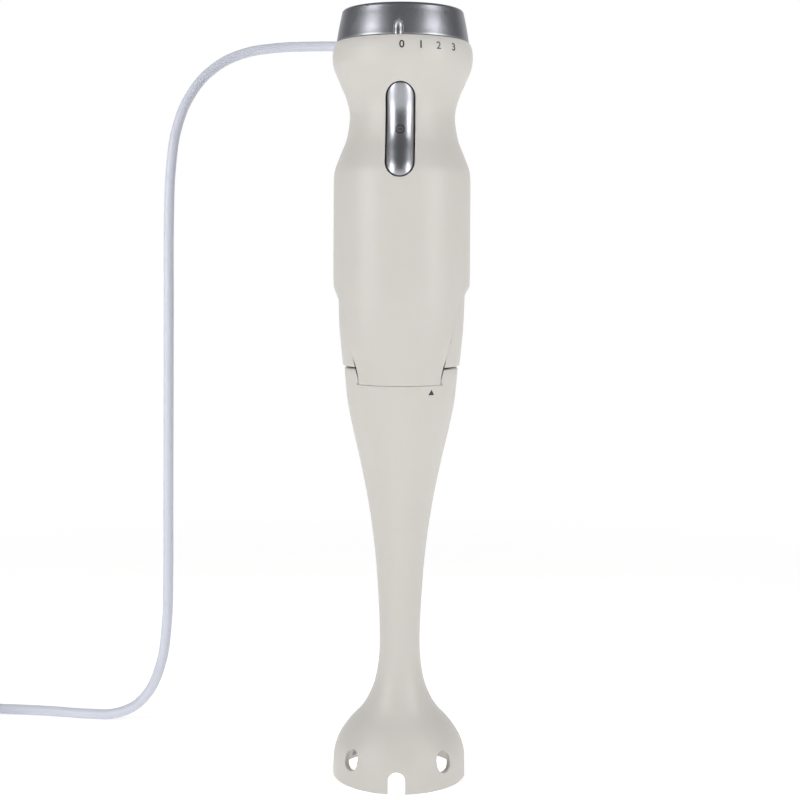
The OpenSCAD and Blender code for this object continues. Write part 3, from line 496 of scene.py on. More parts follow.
# %% [markdown]
# ## Start button
# A long metal-finished button follows the curve of the waist and stands a little proud of it.
# A generic power sign is pressed into its middle. The button is a slice of the handle's own
# curve, so it is turned from that curve and cut to the opening less a gap.

# %% Start button
BUTTON_GAP = 0.5
band = moved_sideways(handle_high, 0.9) + moved_sideways(handle_high, -2.2)[::-1]
start_button = turned("start_button", band, steps=192)
form = slot_cutter(SLOT_W - 2 * BUTTON_GAP, SLOT_H - 2 * BUTTON_GAP, slot_z, along=5)
combine(start_button, form, "INTERSECT")
CROWN_R = 8.6
half_straight = (SLOT_H - SLOT_W) / 2
for vertex in start_button.data.vertices:
    x, z = vertex.co.x / MM, vertex.co.z / MM - slot_z
    from_middle = math.hypot(x, 0.6 * max(abs(z) - half_straight, 0))
    skin_r = math.hypot(vertex.co.x, vertex.co.y) / MM
    crown = CROWN_R - math.sqrt(CROWN_R ** 2 - min(from_middle, 7) ** 2)
    vertex.co.y += max(crown - (skin_r - math.sqrt(skin_r ** 2 - x * x)), 0) * MM
ease_edges(start_button, 0.35, segments=3)
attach(start_button, "start_button")
report(start_button)

# %% Hidden plunger behind the start button
bpy.ops.object.select_all(action="DESELECT")
bpy.ops.mesh.primitive_cylinder_add(vertices=32, radius=2.4 * MM, depth=13 * MM, rotation=(math.pi / 2, 0, 0),
                                    location=(0, -17.5 * MM, (slot_z + 2) * MM))
plunger = started("start_plunger")
ease_edges(plunger, 0.3)
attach(plunger, "start_button")
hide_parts("power_button")
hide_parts("power_button")


# %% [markdown]
# ## Blending arm
# The arm is one turned moulding: a flared shoulder that meets the handle, a slim neck, and the
# bell that guards the blade. Four round-topped notches in the rim and four oval holes between
# them let food flow through. The shoulder steps in under the handle's two tongues.

# %% Arm
BELL_R, BELL_WALL, ARM_WALL, ARM_TOP_R, NECK_R = 33.3, 2.6, 2.2, 28.5, 10.1
NECK_Z, BELL_TOP_Z = 66, 33
flare_z = seam_z - 4
flare = [(NECK_R + (ARM_TOP_R - NECK_R) * s, NECK_Z + (flare_z - NECK_Z) * t) for t, s in (
    (0, 0), (0.14, 0.03), (0.32, 0.125), (0.5, 0.3), (0.66, 0.53), (0.8, 0.77), (0.9, 0.915), (1, 0.99))]
arm_outer = smooth_curve([(BELL_R, 0), (BELL_R, 5.5), (BELL_R - 0.5, 11.5), (BELL_R - 2.6, 18.3),
                          (BELL_R - 7.6, 25.9), (18.4, 34), (13.4, 43.8), (11, 54)] + flare, 5)
ear = [Vector((ARM_TOP_R, seam_z - 1.4)), Vector((ARM_TOP_R - 0.2, seam_z - 0.9)), Vector((ARM_TOP_R - 0.7, seam_z - 0.6))]
bell_inner = [p for p in moved_sideways(arm_outer, -BELL_WALL) if p.y < BELL_TOP_Z - 2 and p.x > NECK_R]
bell_inner += [Vector((NECK_R + 2.5, BELL_TOP_Z))]
tube_inner = [p for p in moved_sideways(arm_outer, -ARM_WALL) if NECK_Z < p.y < seam_z - 14]
bush_r = NECK_R - ARM_WALL
STEP_R = 25.75
inside = ([Vector((STEP_R - 2.2, seam_z - 0.6)), Vector((STEP_R - 2.2, seam_z - 14))] + tube_inner[::-1]
          + [Vector((bush_r, NECK_Z)), Vector((bush_r, BELL_TOP_Z))] + bell_inner[::-1]
          + [Vector((BELL_R - BELL_WALL, 0))])
arm = turned("blending_arm_shell", arm_outer + ear + inside, steps=160)
step_ring = turned("step_ring", [(STEP_R, tongue_z - 0.15), (40, tongue_z - 0.15), (40, seam_z + 2), (STEP_R, seam_z + 2)],
                   steps=160)
for side in (-1, 1):
    combine(step_ring, slot_cutter(2 * (RECESS_HALF_W - 0.1), 60, ledge_z - 30, facing=side * math.pi / 2, along=0))
combine(arm, step_ring)

# %% Notches and ovals of the bell
NOTCH_W, NOTCH_H, OVAL_W, OVAL_H, OVAL_MID_Z = 8.4, 10.6, 8.7, 10.2, 13
for quarter in range(4):
    combine(arm, slot_cutter(NOTCH_W, 2 * NOTCH_H, 0, facing=quarter * math.pi / 2, along=15))
    combine(arm, slot_cutter(OVAL_W, OVAL_H, OVAL_MID_Z, facing=(quarter + 0.5) * math.pi / 2, along=15))
ease_edges(arm, 0.18)
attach(arm, "blending_arm")
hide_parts("arm_housing")
report(arm)


# %% [markdown]
# ## Blade
# Two thin steel wings, one bent up and one down, are ground to an edge on opposite sides. The
# blade is a cube pressed flat, cut across where it bends, and its ends are moved up and down.

# %% Blade
BLADE_Z, BLADE_T, BLADE_W, BLADE_REACH, BLADE_BEND = 12, 1.5, 11, 23.36, 17
blade = box("steel_blade", (-BLADE_REACH, -BLADE_W / 2, BLADE_Z), (BLADE_REACH, BLADE_W / 2, BLADE_Z + BLADE_T))
in_edit(blade)
for x in (-BLADE_BEND, BLADE_BEND, 0):
    bpy.ops.mesh.select_all(action="SELECT")
    bpy.ops.mesh.bisect(plane_co=(x * MM, 0, 0), plane_no=(1, 0, 0))
select_where(blade, lambda v: v.co.x > (BLADE_BEND + 1) * MM)
bpy.ops.transform.translate(value=(0, 0, 4.4 * MM))
select_where(blade, lambda v: v.co.x < -(BLADE_BEND + 1) * MM)
bpy.ops.transform.translate(value=(0, 0, -3 * MM))
for way in (-1, 1):
    select_where(blade, lambda v: v.co.x * way > 1 * MM and v.co.y * way < 0 and
                 (v.co.z > (BLADE_Z + BLADE_T / 2) * MM + (4.4 * MM if v.co.x > 20 * MM else -3 * MM if v.co.x < -20 * MM else 0)))
    bpy.ops.transform.translate(value=(0, 0, -1.1 * MM))
object_mode()
bpy.ops.object.select_all(action="DESELECT")
bpy.ops.mesh.primitive_cylinder_add(vertices=64, radius=6 * MM, depth=BLADE_T * MM, location=(0, 0, (BLADE_Z + BLADE_T / 2) * MM))
combine(blade, started("blade_disc"), "UNION")
bpy.ops.object.select_all(action="DESELECT")
bpy.ops.mesh.primitive_cylinder_add(vertices=48, radius=3 * MM, depth=8 * MM, location=(0, 0, BLADE_Z * MM))
combine(blade, started("blade_bore"))
ease_edges(blade, 0.12, angle=25)
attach(blade, "blade_drive")
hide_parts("blade")
report(blade)


# %% [markdown]
# ## Cord boot
# The boot keeps the cord from kinking where it leaves the handle. It is soft, tapers towards its
# tip and has ring-shaped cuts so that it bends evenly. It is turned round its own axis and then
# laid along the way that the cord leaves.

# %% Boot
BOOT_R = 5.2
RIBS = 6
rib_pitch = (RELIEF_LEN - 10) / RIBS
boot_outline = [(0, -3.1), (6.6, -3.1), (6.75, -2.2), (6.6, -1.3), (BOOT_R, -1.3), (BOOT_R, 5.6), (5.6, 6.4)]
for i in range(RIBS):
    for share, inset in ((0.05, 0.1), (0.2, 0), (0.55, 0), (0.68, 0.15), (0.72, 0.85), (0.92, 0.85)):
        z = 7 + (i + share) * rib_pitch
        boot_outline.append((5.6 - 1.9 * z / RELIEF_LEN - inset, z))
boot_outline += [(3.35, RELIEF_LEN - 2.6), (3.3, RELIEF_LEN - 0.6), (3.05, RELIEF_LEN), (0, RELIEF_LEN)]
boot = turned("cord_boot", boot_outline, steps=64)
boot.matrix_world = Matrix.Translation(exit_mid * MM) @ exit_way.to_track_quat("Z", "Y").to_matrix().to_4x4()
place_in_mesh(boot)
smooth_faces(boot, 50)
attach(boot, "handle")
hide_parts("strain_relief")
report(boot)


# %% [markdown]
# ## Plug and tie
# The plug is a flattened turned body that widens towards its face, with finger ribs on both
# flat sides. It lies beside the coil. A soft strap with rounded edges goes round the turns.

# %% Plug
PLUG_R, PLUG_LEN, PIN_R, PIN_PITCH = 18, 40, 2.4, 19
plug_outline = smooth_curve([(3.75, 0), (4.35, 2), (8, 14), (13, 24), (17.2, 30)], 5) + [
    Vector(p) for p in ((PLUG_R, 31.4), (PLUG_R, PLUG_LEN - 1), (PLUG_R - 0.8, PLUG_LEN), (0, PLUG_LEN), (0, 0))]
plug = turned("mains_plug", plug_outline, steps=96)
for side in (-1, 1):
    cut_flat(plug, (0, side * PLUG_MID_Z, 0), (0, side, 0))
    for i in range(5):
        z = 22 + i * 3.2
        combine(plug, box("rib_gap", (-9, min(side * 11.9, side * 14), z), (9, max(side * 11.9, side * 14), z + 1.4)))
    bpy.ops.object.select_all(action="DESELECT")
    bpy.ops.mesh.primitive_cylinder_add(vertices=32, radius=PIN_R * MM, depth=10 * MM,
                                        location=(side * PIN_PITCH / 2 * MM, 0, (PLUG_LEN - 3) * MM))
    combine(plug, started("pin_hole"))
plug.matrix_world = Matrix.Translation(Vector((plug_x, PLUG_BACK_Y, PLUG_MID_Z)) * MM) @ Matrix.Rotation(math.pi / 2, 4, "X")
place_in_mesh(plug)
ease_edges(plug, 0.3, angle=35)
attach(plug, "handle")
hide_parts("plug_body")
report(plug)

# %% Tie round the coil
TIE_ANGLE = math.radians(-60)
TIE_IN, TIE_T, TIE_W, COIL_TOP = 6.3, 1, 7, 11.4
tie = box("coil_tie", (29 - TIE_IN - TIE_T, -TIE_W / 2, 0.02), (29 + TIE_IN + TIE_T, TIE_W / 2, COIL_TOP + TIE_T))
combine(tie, box("tie_inside", (29 - TIE_IN, -TIE_W, -2), (29 + TIE_IN, TIE_W, COIL_TOP)))
tie.matrix_world = Matrix.Translation(Vector((COIL_X, COIL_Y, 0)) * MM) @ Matrix.Rotation(TIE_ANGLE, 4, "Z")
place_in_mesh(tie)
ease_edges(tie, 0.4, segments=3)
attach(tie, "handle")
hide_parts("cord_tie")
report(tie)


# %% [markdown]
# ## Printed marks
# The four speed numbers and a small triangle are printed on the handle and the arm, and a
# power sign is pressed into the start button. Each mark is a thin flat shape. It is wrapped
# onto the surface with a shrinkwrap and given a hair of thickness.

# %% Marks
def stick_on(mark, target, thickness, lift=0.02):
    """Wraps a flat mark onto the target and gives it a thickness, in mm."""
    only(mark)
    bpy.ops.object.modifier_add(type="SHRINKWRAP")
    wrap = mark.modifiers[-1]
    wrap.target = target
    wrap.wrap_method = "NEAREST_SURFACEPOINT"
    wrap.wrap_mode = "ABOVE_SURFACE"
    wrap.offset = lift * MM
    bpy.ops.object.modifier_apply(modifier=wrap.name)
    bpy.ops.object.modifier_add(type="SOLIDIFY")
    wall = mark.modifiers[-1]
    wall.thickness = thickness * MM
    wall.offset = 1
    bpy.ops.object.modifier_apply(modifier=wall.name)


def facing_out(angle, radius, z, lean=0.0):
    """The place of a mark on the wall, at an angle from -Y towards +X."""
    return (Matrix.Rotation(angle, 4, "Z") @ Matrix.Translation(Vector((0, -radius, z)) * MM)
            @ Matrix.Rotation(math.pi / 2 - lean, 4, "X"))


marks = []
NUMBER_H, NUMBER_Z, NUMBER_START, NUMBER_STEP = 3.7, top_z - 5.1, 1.4, 15.2
for number in range(4):
    bpy.ops.object.select_all(action="DESELECT")
    bpy.ops.object.text_add()
    bpy.context.object.data.body = str(number)
    bpy.context.object.data.align_x = "CENTER"
    bpy.context.object.data.align_y = "CENTER"
    bpy.context.object.data.size = NUMBER_H * 1.42 * MM
    bpy.context.object.data.resolution_u = 8
    bpy.context.object.data.offset = 0.1 * MM
    bpy.ops.object.convert(target="MESH")
    figure = bpy.context.object
    figure.name = figure.data.name = "speed_number_" + str(number)
    figure.matrix_world = facing_out(math.radians(NUMBER_START + NUMBER_STEP * number), 35.4, NUMBER_Z)
    place_in_mesh(figure)
    in_edit(figure)
    bpy.ops.mesh.select_all(action="SELECT")
    bpy.ops.mesh.quads_convert_to_tris()
    bpy.ops.mesh.subdivide(number_cuts=3)
    object_mode()
    stick_on(figure, front_shell, 0.03)
    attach(figure, "handle")
    marks.append(figure)

bpy.ops.object.select_all(action="DESELECT")
bpy.ops.mesh.primitive_circle_add(vertices=3, radius=1.95 * MM, fill_type="NGON")
triangle = bpy.context.object
triangle.name = triangle.data.name = "lock_mark"
triangle.matrix_world = facing_out(math.radians(34.7), radius_at(arm_outer, 194.3), 194.3, lean=0.25)
place_in_mesh(triangle)
in_edit(triangle)
bpy.ops.mesh.select_all(action="SELECT")
bpy.ops.mesh.subdivide(number_cuts=3)
object_mode()
stick_on(triangle, arm, 0.03)
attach(triangle, "blending_arm")
marks.append(triangle)

# %% Power sign on the start button
SIGN_R, SIGN_LINE = 2.05, 0.5
bpy.ops.object.select_all(action="DESELECT")
bpy.ops.mesh.primitive_circle_add(vertices=64, radius=(SIGN_R + SIGN_LINE / 2) * MM, fill_type="NGON")
sign = bpy.context.object
sign.name = sign.data.name = "power_sign"
in_edit(sign)
bpy.ops.mesh.select_all(action="SELECT")
bpy.ops.mesh.inset(thickness=SIGN_LINE * MM)
bpy.ops.mesh.delete(type="FACE")
object_mode()
bpy.ops.object.select_all(action="DESELECT")
bpy.ops.mesh.primitive_plane_add(size=1, scale=(1, 1, 1))
bar = started("power_bar")
bar.matrix_world = Matrix.Diagonal((2.4 * MM, 0.42 * MM, 1, 1))
place_in_mesh(bar)
sign_z = slot_z + 0.2
for piece in (sign, bar):
    piece.matrix_world = facing_out(0, radius_at(handle_outer, sign_z) + 1, sign_z)
    place_in_mesh(piece)
    in_edit(piece)
    bpy.ops.mesh.select_all(action="SELECT")
    bpy.ops.mesh.quads_convert_to_tris()
    bpy.ops.mesh.subdivide(number_cuts=2)
    object_mode()
    stick_on(piece, start_button, 0.03)
    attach(piece, "start_button")
    marks.append(piece)
print("marks:", [m.name for m in marks])


# %% [markdown]
# ## Shared effects
# Real finishes are never one flat value. Three small node groups give every material its life:
# a moulded grain that also varies the tint and the gloss, the fine rings that a lathe leaves,
# and a film of dust on upward faces. Each is built once and placed in many materials.

# %% Node groups
def new_group(name, inputs, outputs):
    group = bpy.data.node_groups.new(name, "ShaderNodeTree")
    for label, kind, value in inputs:
        socket = group.interface.new_socket(name=label, in_out="INPUT", socket_type="NodeSocket" + kind)
        socket.default_value = value
    for label, kind in outputs:
        group.interface.new_socket(name=label, in_out="OUTPUT", socket_type="NodeSocket" + kind)
    return group, group.nodes.new("NodeGroupInput"), group.nodes.new("NodeGroupOutput")


def noise(tree, source, scale, detail, roughness=0.55):
    node = tree.nodes.new("ShaderNodeTexNoise")
    node.inputs["Scale"].default_value = scale
    node.inputs["Detail"].default_value = detail
    node.inputs["Roughness"].default_value = roughness
    tree.links.new(source, node.inputs["Vector"])
    return node.outputs["Fac"]


def math_node(tree, operation, first, second, clamp=False):
    node = tree.nodes.new("ShaderNodeMath")
    node.operation = operation
    node.use_clamp = clamp
    for socket, value in zip(node.inputs, (first, second)):
        if isinstance(value, (int, float)):
            socket.default_value = value
        else:
            tree.links.new(value, socket)
    return node.outputs[0]


def mixed_colour(tree, share, first, second, blend="MIX"):
    node = tree.nodes.new("ShaderNodeMix")
    node.data_type = "RGBA"
    node.blend_type = blend
    for name, value in (("Factor", share), ("A", first), ("B", second)):
        socket = [s for s in node.inputs if s.name == name and s.enabled][0]
        if isinstance(value, (int, float, tuple)):
            socket.default_value = value
        else:
            tree.links.new(value, socket)
    return [s for s in node.outputs if s.enabled][0]


moulded_grain, ins, outs = new_group(
    "moulded_grain",
    [("Colour", "Color", (0.8, 0.8, 0.8, 1)), ("Tint", "Color", (0.7, 0.7, 0.7, 1)), ("Grain size", "Float", 900.0),
     ("Roughness", "Float", 0.4), ("Unevenness", "Float", 0.08)],
    [("Colour", "Color"), ("Roughness", "Float"), ("Height", "Float")])
place = moulded_grain.nodes.new("ShaderNodeTexCoord").outputs["Object"]
cloudy = noise(moulded_grain, place, 26, 4)
fine = noise(moulded_grain, place, 700, 3, 0.6)
moulded_grain.links.new(ins.outputs["Grain size"], fine.node.inputs["Scale"])
share = math_node(moulded_grain, "ADD", math_node(moulded_grain, "SUBTRACT", cloudy, 0.42), 0.0, clamp=True)
moulded_grain.links.new(mixed_colour(moulded_grain, share, ins.outputs["Colour"], ins.outputs["Tint"]), outs.inputs["Colour"])
swing = math_node(moulded_grain, "MULTIPLY", math_node(moulded_grain, "SUBTRACT", cloudy, 0.5), ins.outputs["Unevenness"])
fleck = math_node(moulded_grain, "MULTIPLY", math_node(moulded_grain, "SUBTRACT", fine, 0.5), ins.outputs["Unevenness"])
gloss = math_node(moulded_grain, "ADD", math_node(moulded_grain, "ADD", swing, fleck), ins.outputs["Roughness"], clamp=True)
moulded_grain.links.new(gloss, outs.inputs["Roughness"])
moulded_grain.links.new(fine, outs.inputs["Height"])

lathe_lines, ins, outs = new_group(
    "lathe_lines", [("Line density", "Float", 4000.0), ("Up share", "Float", 1.0)], [("Height", "Float"), ("Mask", "Float")])
place = lathe_lines.nodes.new("ShaderNodeTexCoord").outputs["Object"]
parts = lathe_lines.nodes.new("ShaderNodeSeparateXYZ")
lathe_lines.links.new(place, parts.inputs[0])
across = math_node(lathe_lines, "SQRT", math_node(lathe_lines, "ADD",
                   math_node(lathe_lines, "MULTIPLY", parts.outputs[0], parts.outputs[0]),
                   math_node(lathe_lines, "MULTIPLY", parts.outputs[1], parts.outputs[1])), 0.0)
upward = math_node(lathe_lines, "MULTIPLY", parts.outputs[2], ins.outputs["Up share"])
both = lathe_lines.nodes.new("ShaderNodeCombineXYZ")
lathe_lines.links.new(math_node(lathe_lines, "ADD", across, upward), both.inputs[0])
lines = lathe_lines.nodes.new("ShaderNodeTexNoise")
lines.noise_dimensions = "3D"
lines.inputs["Detail"].default_value = 3
lathe_lines.links.new(both.outputs[0], lines.inputs["Vector"])
lathe_lines.links.new(ins.outputs["Line density"], lines.inputs["Scale"])
lathe_lines.links.new(lines.outputs["Fac"], outs.inputs["Height"])
lathe_lines.links.new(lines.outputs["Fac"], outs.inputs["Mask"])

dust_film, ins, outs = new_group(
    "dust_film", [("Colour", "Color", (0.8, 0.8, 0.8, 1)), ("Dust", "Color", (0.75, 0.73, 0.7, 1)), ("Amount", "Float", 0.1)],
    [("Colour", "Color"), ("Mask", "Float")])
place = dust_film.nodes.new("ShaderNodeTexCoord").outputs["Object"]
facing = dust_film.nodes.new("ShaderNodeSeparateXYZ")
dust_film.links.new(dust_film.nodes.new("ShaderNodeNewGeometry").outputs["Normal"], facing.inputs[0])
speckle = noise(dust_film, place, 260, 6, 0.7)
settled = math_node(dust_film, "MULTIPLY", math_node(dust_film, "MAXIMUM", facing.outputs[2], 0.0), speckle)
settled = math_node(dust_film, "MULTIPLY", settled, ins.outputs["Amount"], clamp=True)
dust_film.links.new(mixed_colour(dust_film, settled, ins.outputs["Colour"], ins.outputs["Dust"]), outs.inputs["Colour"])
dust_film.links.new(settled, outs.inputs["Mask"])
print("groups:", [g.name for g in bpy.data.node_groups])


# %% [markdown]
# ## Materials
# Every finish is a Principled shader fed by the groups. A spec line gives its colour, how far
# its tint wanders, its gloss, and the size and depth of its grain.

# %% Material maker
def shade(hexa):
    """A colour written as on a paint card, in the shader's linear values."""
    parts = [int(hexa[i:i + 2], 16) / 255 for i in (0, 2, 4)]
    return tuple(c / 12.92 if c <= 0.04045 else ((c + 0.055) / 1.055) ** 2.4 for c in parts) + (1,)


def finish(name, colour, tint, roughness, metallic=0.0, grain=900, depth=0.02, uneven=0.1, lathe=0.0, dust=0.06,
           coat=0.0, anisotropic=0.0, specular=0.5, subsurface=0.0):
    material = bpy.data.materials.new(name)
    material.use_nodes = True
    tree = material.node_tree
    shader = tree.nodes["Principled BSDF"]
    skin = tree.nodes.new("ShaderNodeGroup")
    skin.node_tree = moulded_grain
    skin.inputs["Colour"].default_value = shade(colour)
    skin.inputs["Tint"].default_value = shade(tint)
    skin.inputs["Grain size"].default_value = grain
    skin.inputs["Roughness"].default_value = roughness
    skin.inputs["Unevenness"].default_value = uneven
    film = tree.nodes.new("ShaderNodeGroup")
    film.node_tree = dust_film
    film.inputs["Amount"].default_value = dust
    tree.links.new(skin.outputs["Colour"], film.inputs["Colour"])
    tree.links.new(film.outputs["Colour"], shader.inputs["Base Color"])
    tree.links.new(skin.outputs["Roughness"], shader.inputs["Roughness"])
    bump = tree.nodes.new("ShaderNodeBump")
    bump.inputs["Strength"].default_value = 0.5
    bump.inputs["Distance"].default_value = depth * MM
    tree.links.new(skin.outputs["Height"], bump.inputs["Height"])
    if lathe:
        rings = tree.nodes.new("ShaderNodeGroup")
        rings.node_tree = lathe_lines
        second = tree.nodes.new("ShaderNodeBump")
        second.inputs["Strength"].default_value = 0.6
        second.inputs["Distance"].default_value = lathe * MM
        tree.links.new(rings.outputs["Height"], second.inputs["Height"])
        tree.links.new(bump.outputs["Normal"], second.inputs["Normal"])
        bump = second
    tree.links.new(bump.outputs["Normal"], shader.inputs["Normal"])
    shader.inputs["Metallic"].default_value = metallic
    shader.inputs["Coat Weight"].default_value = coat
    shader.inputs["Anisotropic"].default_value = anisotropic
    shader.inputs["Specular IOR Level"].default_value = specular
    shader.inputs["Subsurface Weight"].default_value = subsurface
    if subsurface:
        shader.inputs["Subsurface Scale"].default_value = 0.002
    return material


ivory = finish("ivory_satin_plastic", "c0bdb8", "bbb9b3", 0.42, grain=1500, depth=0.006, uneven=0.06, specular=0.4,
               subsurface=0.06)
ivory_arm = finish("ivory_arm_plastic", "c1beb9", "bdbab4", 0.44, grain=1500, depth=0.006, uneven=0.06, specular=0.4,
                   subsurface=0.06)
satin_metal = finish("satin_metal_coat", "a3a4aa", "8f9097", 0.38, metallic=1.0, grain=1200, depth=0.06, uneven=0.25, dust=0.0)
button_metal = finish("satin_button_coat", "a6a7ad", "92939a", 0.35, metallic=1.0, grain=1300, depth=0.05, uneven=0.2, dust=0.0)
cord_skin = finish("cord_jacket", "c6c9d4", "c0c4d0", 0.42, grain=900, depth=0.003, uneven=0.06, dust=0.0)
boot_skin = finish("boot_rubber", "c5c8d2", "bcc0cb", 0.55, grain=900, depth=0.03, uneven=0.1, dust=0.15)
plug_skin = finish("plug_plastic", "cdd1dc", "c4c8d4", 0.45, grain=700, depth=0.03, uneven=0.1, dust=0.12)
tie_skin = finish("tie_rubber", "3c3d42", "47484d", 0.6, grain=900, depth=0.04, uneven=0.12, dust=0.3)
mark_ink = finish("mark_ink", "27282c", "313237", 0.5, grain=1800, depth=0.004, dust=0.0)
# Painted highlight: the number 2 lies in the right lamp's highlight, so its dark print is painted paler here.
ink_with_painted_highlight = finish("mark_ink_with_painted_highlight", "55565b", "606166", 0.5, grain=1800, depth=0.004, dust=0.0)
sign_dark = finish("pressed_sign", "17171b", "1f1f24", 0.45, grain=1800, depth=0.004, dust=0.0)
black_part = finish("black_plastic", "26272b", "2e2f34", 0.5, grain=800, depth=0.02)
board_green = finish("board_lacquer", "23573a", "2b6544", 0.35, grain=300, depth=0.02, coat=0.3)
parts_orange = finish("component_shell", "b4662d", "a45a26", 0.45, grain=600, depth=0.02)
blue_part = finish("control_shell", "2b4c78", "335787", 0.4, grain=600, depth=0.02)
white_part = finish("inner_moulding", "d2cfc6", "c8c4ba", 0.5, grain=900, depth=0.03)
iron = finish("stator_iron", "85888d", "6f7277", 0.5, metallic=0.9, grain=500, depth=0.03, lathe=0.03)
copper = finish("enamelled_copper", "a55c2a", "8f4a1f", 0.35, metallic=0.6, grain=500, depth=0.05, lathe=0.05, coat=0.4)
steel = finish("bright_steel", "c9cbcf", "bcbec3", 0.22, metallic=1.0, grain=1200, depth=0.008, lathe=0.004, dust=0.02)
blade_steel = finish("ground_steel", "cfd1d5", "c2c4c9", 0.2, metallic=1.0, grain=1600, depth=0.01, uneven=0.14, dust=0.0)
bronze = finish("sintered_bronze", "a98546", "967238", 0.45, metallic=0.9, grain=1300, depth=0.03)
carbon = finish("carbon", "242427", "303034", 0.65, grain=1500, depth=0.04)
red_wire = finish("wire_sleeve", "8f3630", "9c4038", 0.45, grain=500, depth=0.02)
seal_skin = finish("seal_rubber", "6e2926", "7b312d", 0.6, grain=900, depth=0.04)
brass = finish("pressed_brass", "b58f3e", "a27e33", 0.35, metallic=1.0, grain=900, depth=0.02)
pin_metal = finish("plated_pin", "c9c8c3", "bdbcb6", 0.25, metallic=1.0, grain=1200, depth=0.01)
print("materials:", len(bpy.data.materials))


# %% Give every piece its finish
def dress(piece, material):
    piece.data.materials.clear()
    piece.data.materials.append(material)


new_finishes = [(front_shell, ivory), (rear_shell, ivory), (arm, ivory_arm), (dial_cap, satin_metal),
                (dial_boss, black_part), (start_button, button_metal), (plunger, black_part), (blade, blade_steel),
                (boot, boot_skin), (plug, plug_skin), (tie, tie_skin), (mains_cord, cord_skin)]
# The number 2 gets the print colour with a painted highlight; the other numbers get the plain print.
new_finishes += [(mark, mark_ink) for mark in marks[:2] + marks[3:4]] + [(marks[2], ink_with_painted_highlight)]
new_finishes += [(mark, sign_dark) for mark in marks[4:]]
new_finishes += [(bpy.data.objects[side + "_release_button"], ivory) for side in ("left", "right")]
for piece, material in new_finishes:
    dress(piece, material)

node_finishes = {
    steel: ["housing_screws", "detent_spring", "dial_spindle", "button_spring", "motor_screws", "bottom_bearing",
            "top_bearing", "rotor_shaft", "brush_springs", "release_spring_left", "release_spring_right",
            "drive_spindle", "circlip", "blade_nut", "heat_sink"],
    black_part: ["dial_seat", "start_switch", "cooling_fan", "motor_mount_rings", "splash_seal", "upper_coupling",
                 "lower_coupling"],
    blue_part: ["speed_switch"],
    board_green: ["circuit_board"],
    parts_orange: ["board_components"],
    white_part: ["cord_clamp", "motor_bottom_bracket", "motor_top_bracket", "handle_base", "locking_collar", "blade_hub"],
    iron: ["motor_stator", "armature_core"],
    copper: ["field_coils", "armature_windings", "commutator"],
    brass: ["brush_holders"],
    carbon: ["carbon_brushes"],
    red_wire: ["lead_wires"],
    bronze: ["upper_bush", "lower_bush"],
    seal_skin: ["shaft_seal"],
    pin_metal: ["plug_pins"],
}
for material, names in node_finishes.items():
    for name in names:
        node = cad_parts[name]
        for spot in node.material_slots:
            spot.material = material
        if not node.material_slots:
            node.data.materials.append(material)
print("CAD nodes dressed:", sum(len(names) for names in node_finishes.values()))


# %% [markdown]
# ## Floor and light
# A pale floor runs out to a pale surround. Two tall soft lamps stand at the sides and draw the
# two long highlights on the handle and the dial, with a broad lamp overhead for soft shadows.

# %% Floor
FLOOR_SIZE = 12
bpy.ops.object.select_all(action="DESELECT")
bpy.ops.mesh.primitive_plane_add(size=FLOOR_SIZE)
floor = started("studio_floor")
paper = bpy.data.materials.new("pale_paper")
paper.use_nodes = True
tree = paper.node_tree
base = tree.nodes["Principled BSDF"]
base.inputs["Roughness"].default_value = 0.9
base.inputs["Specular IOR Level"].default_value = 0.1
base.inputs["Emission Color"].default_value = (1, 1, 1, 1)
here = tree.nodes.new("ShaderNodeTexCoord").outputs["Object"]
cloud = noise(tree, here, 3, 3)
tree.links.new(mixed_colour(tree, cloud, shade("f4f4f3"), shade("f0f0ef")), base.inputs["Base Color"])
SURROUND = 1.0
far = tree.nodes.new("ShaderNodeEmission")
far.inputs["Color"].default_value = (SURROUND, SURROUND, SURROUND, 1)
reach = tree.nodes.new("ShaderNodeVectorMath")
reach.operation = "LENGTH"
tree.links.new(here, reach.inputs[0])
fade = tree.nodes.new("ShaderNodeMapRange")
fade.interpolation_type = "SMOOTHSTEP"
fade.inputs["From Min"].default_value = 0.3
fade.inputs["From Max"].default_value = 0.8
tree.links.new(reach.outputs["Value"], fade.inputs["Value"])
blend_out = tree.nodes.new("ShaderNodeMixShader")
tree.links.new(fade.outputs[0], blend_out.inputs[0])
tree.links.new(base.outputs[0], blend_out.inputs[1])
tree.links.new(far.outputs[0], blend_out.inputs[2])
tree.links.new(blend_out.outputs[0], tree.nodes["Material Output"].inputs["Surface"])
# Painted light: the floor glows evenly at 0.38, and inside the bell's rim, within 30 mm of the axis, it glows at full
# strength where the bell's shade would fall.
floor_glow_and_painted_light = tree.nodes.new("ShaderNodeMapRange")
floor_glow_and_painted_light.inputs["From Min"].default_value = 0.0315
floor_glow_and_painted_light.inputs["From Max"].default_value = 0.030
floor_glow_and_painted_light.inputs["To Min"].default_value = 0.38
floor_glow_and_painted_light.inputs["To Max"].default_value = 1.0
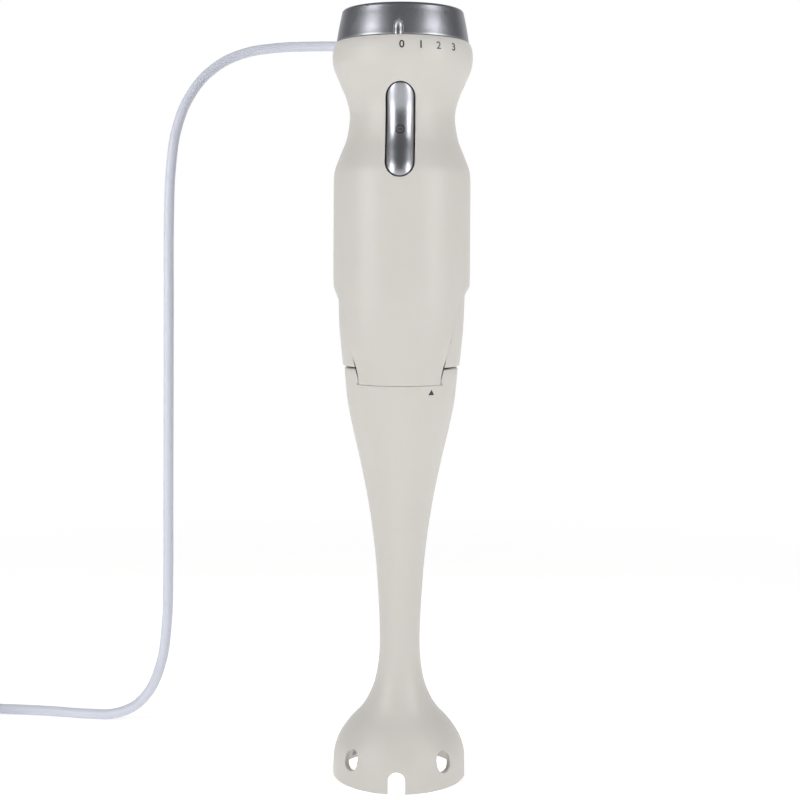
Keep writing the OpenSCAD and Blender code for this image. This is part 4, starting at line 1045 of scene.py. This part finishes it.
tree.links.new(reach.outputs["Value"], floor_glow_and_painted_light.inputs["Value"])
tree.links.new(floor_glow_and_painted_light.outputs[0], base.inputs["Emission Strength"])
dress(floor, paper)

# %% Lamps
def soft_lamp(name, azimuth, distance, height, width, tall, power, aim=0.2):
    """A soft lamp at an angle from the camera's side, aimed at the blender."""
    a = math.radians(azimuth)
    place = Vector((distance * math.sin(a), -distance * math.cos(a), height))
    bpy.ops.object.light_add(type="AREA", location=place)
    lamp = bpy.context.object
    lamp.name = name
    lamp.data.shape = "RECTANGLE"
    lamp.data.size, lamp.data.size_y = width, tall
    lamp.data.energy = power
    lamp.rotation_euler = (Vector((0, 0, aim)) - place).to_track_quat("-Z", "Y").to_euler()
    lamp.visible_camera = False
    return lamp


soft_lamp("left_strip", -55, 0.95, 0.42, 0.4, 0.75, 5.2)
soft_lamp("right_strip", 57, 0.95, 0.42, 0.4, 0.75, 5.0)
front_fill = soft_lamp("front_fill", 6, 2.0, 1.5, 1.6, 0.8, 4.0)
front_fill.visible_glossy = False
overhead = soft_lamp("overhead", 180, 0.2, 1.6, 2.2, 2.2, 11.5, aim=0.0)
overhead.visible_glossy = False

world = bpy.data.worlds.new("surround")
bpy.context.scene.world = world
world.use_nodes = True
tree = world.node_tree
background = tree.nodes["Background"]
direction = tree.nodes.new("ShaderNodeTexCoord").outputs["Generated"]
parts = tree.nodes.new("ShaderNodeSeparateXYZ")
tree.links.new(direction, parts.inputs[0])
behind = tree.nodes.new("ShaderNodeMapRange")
behind.inputs["From Min"].default_value = 0.55
behind.inputs["From Max"].default_value = 0.95
behind.inputs["To Min"].default_value = 0.17
behind.inputs["To Max"].default_value = 1.0
tree.links.new(parts.outputs[1], behind.inputs["Value"])
seen = tree.nodes.new("ShaderNodeLightPath").outputs["Is Camera Ray"]
grey = mixed_colour(tree, behind.outputs[0], (0.0, 0.0, 0.0, 1), (1.0, 1.0, 1.0, 1))
tree.links.new(mixed_colour(tree, seen, grey, (SURROUND, SURROUND, SURROUND, 1)), background.inputs["Color"])
background.inputs["Strength"].default_value = 1.0
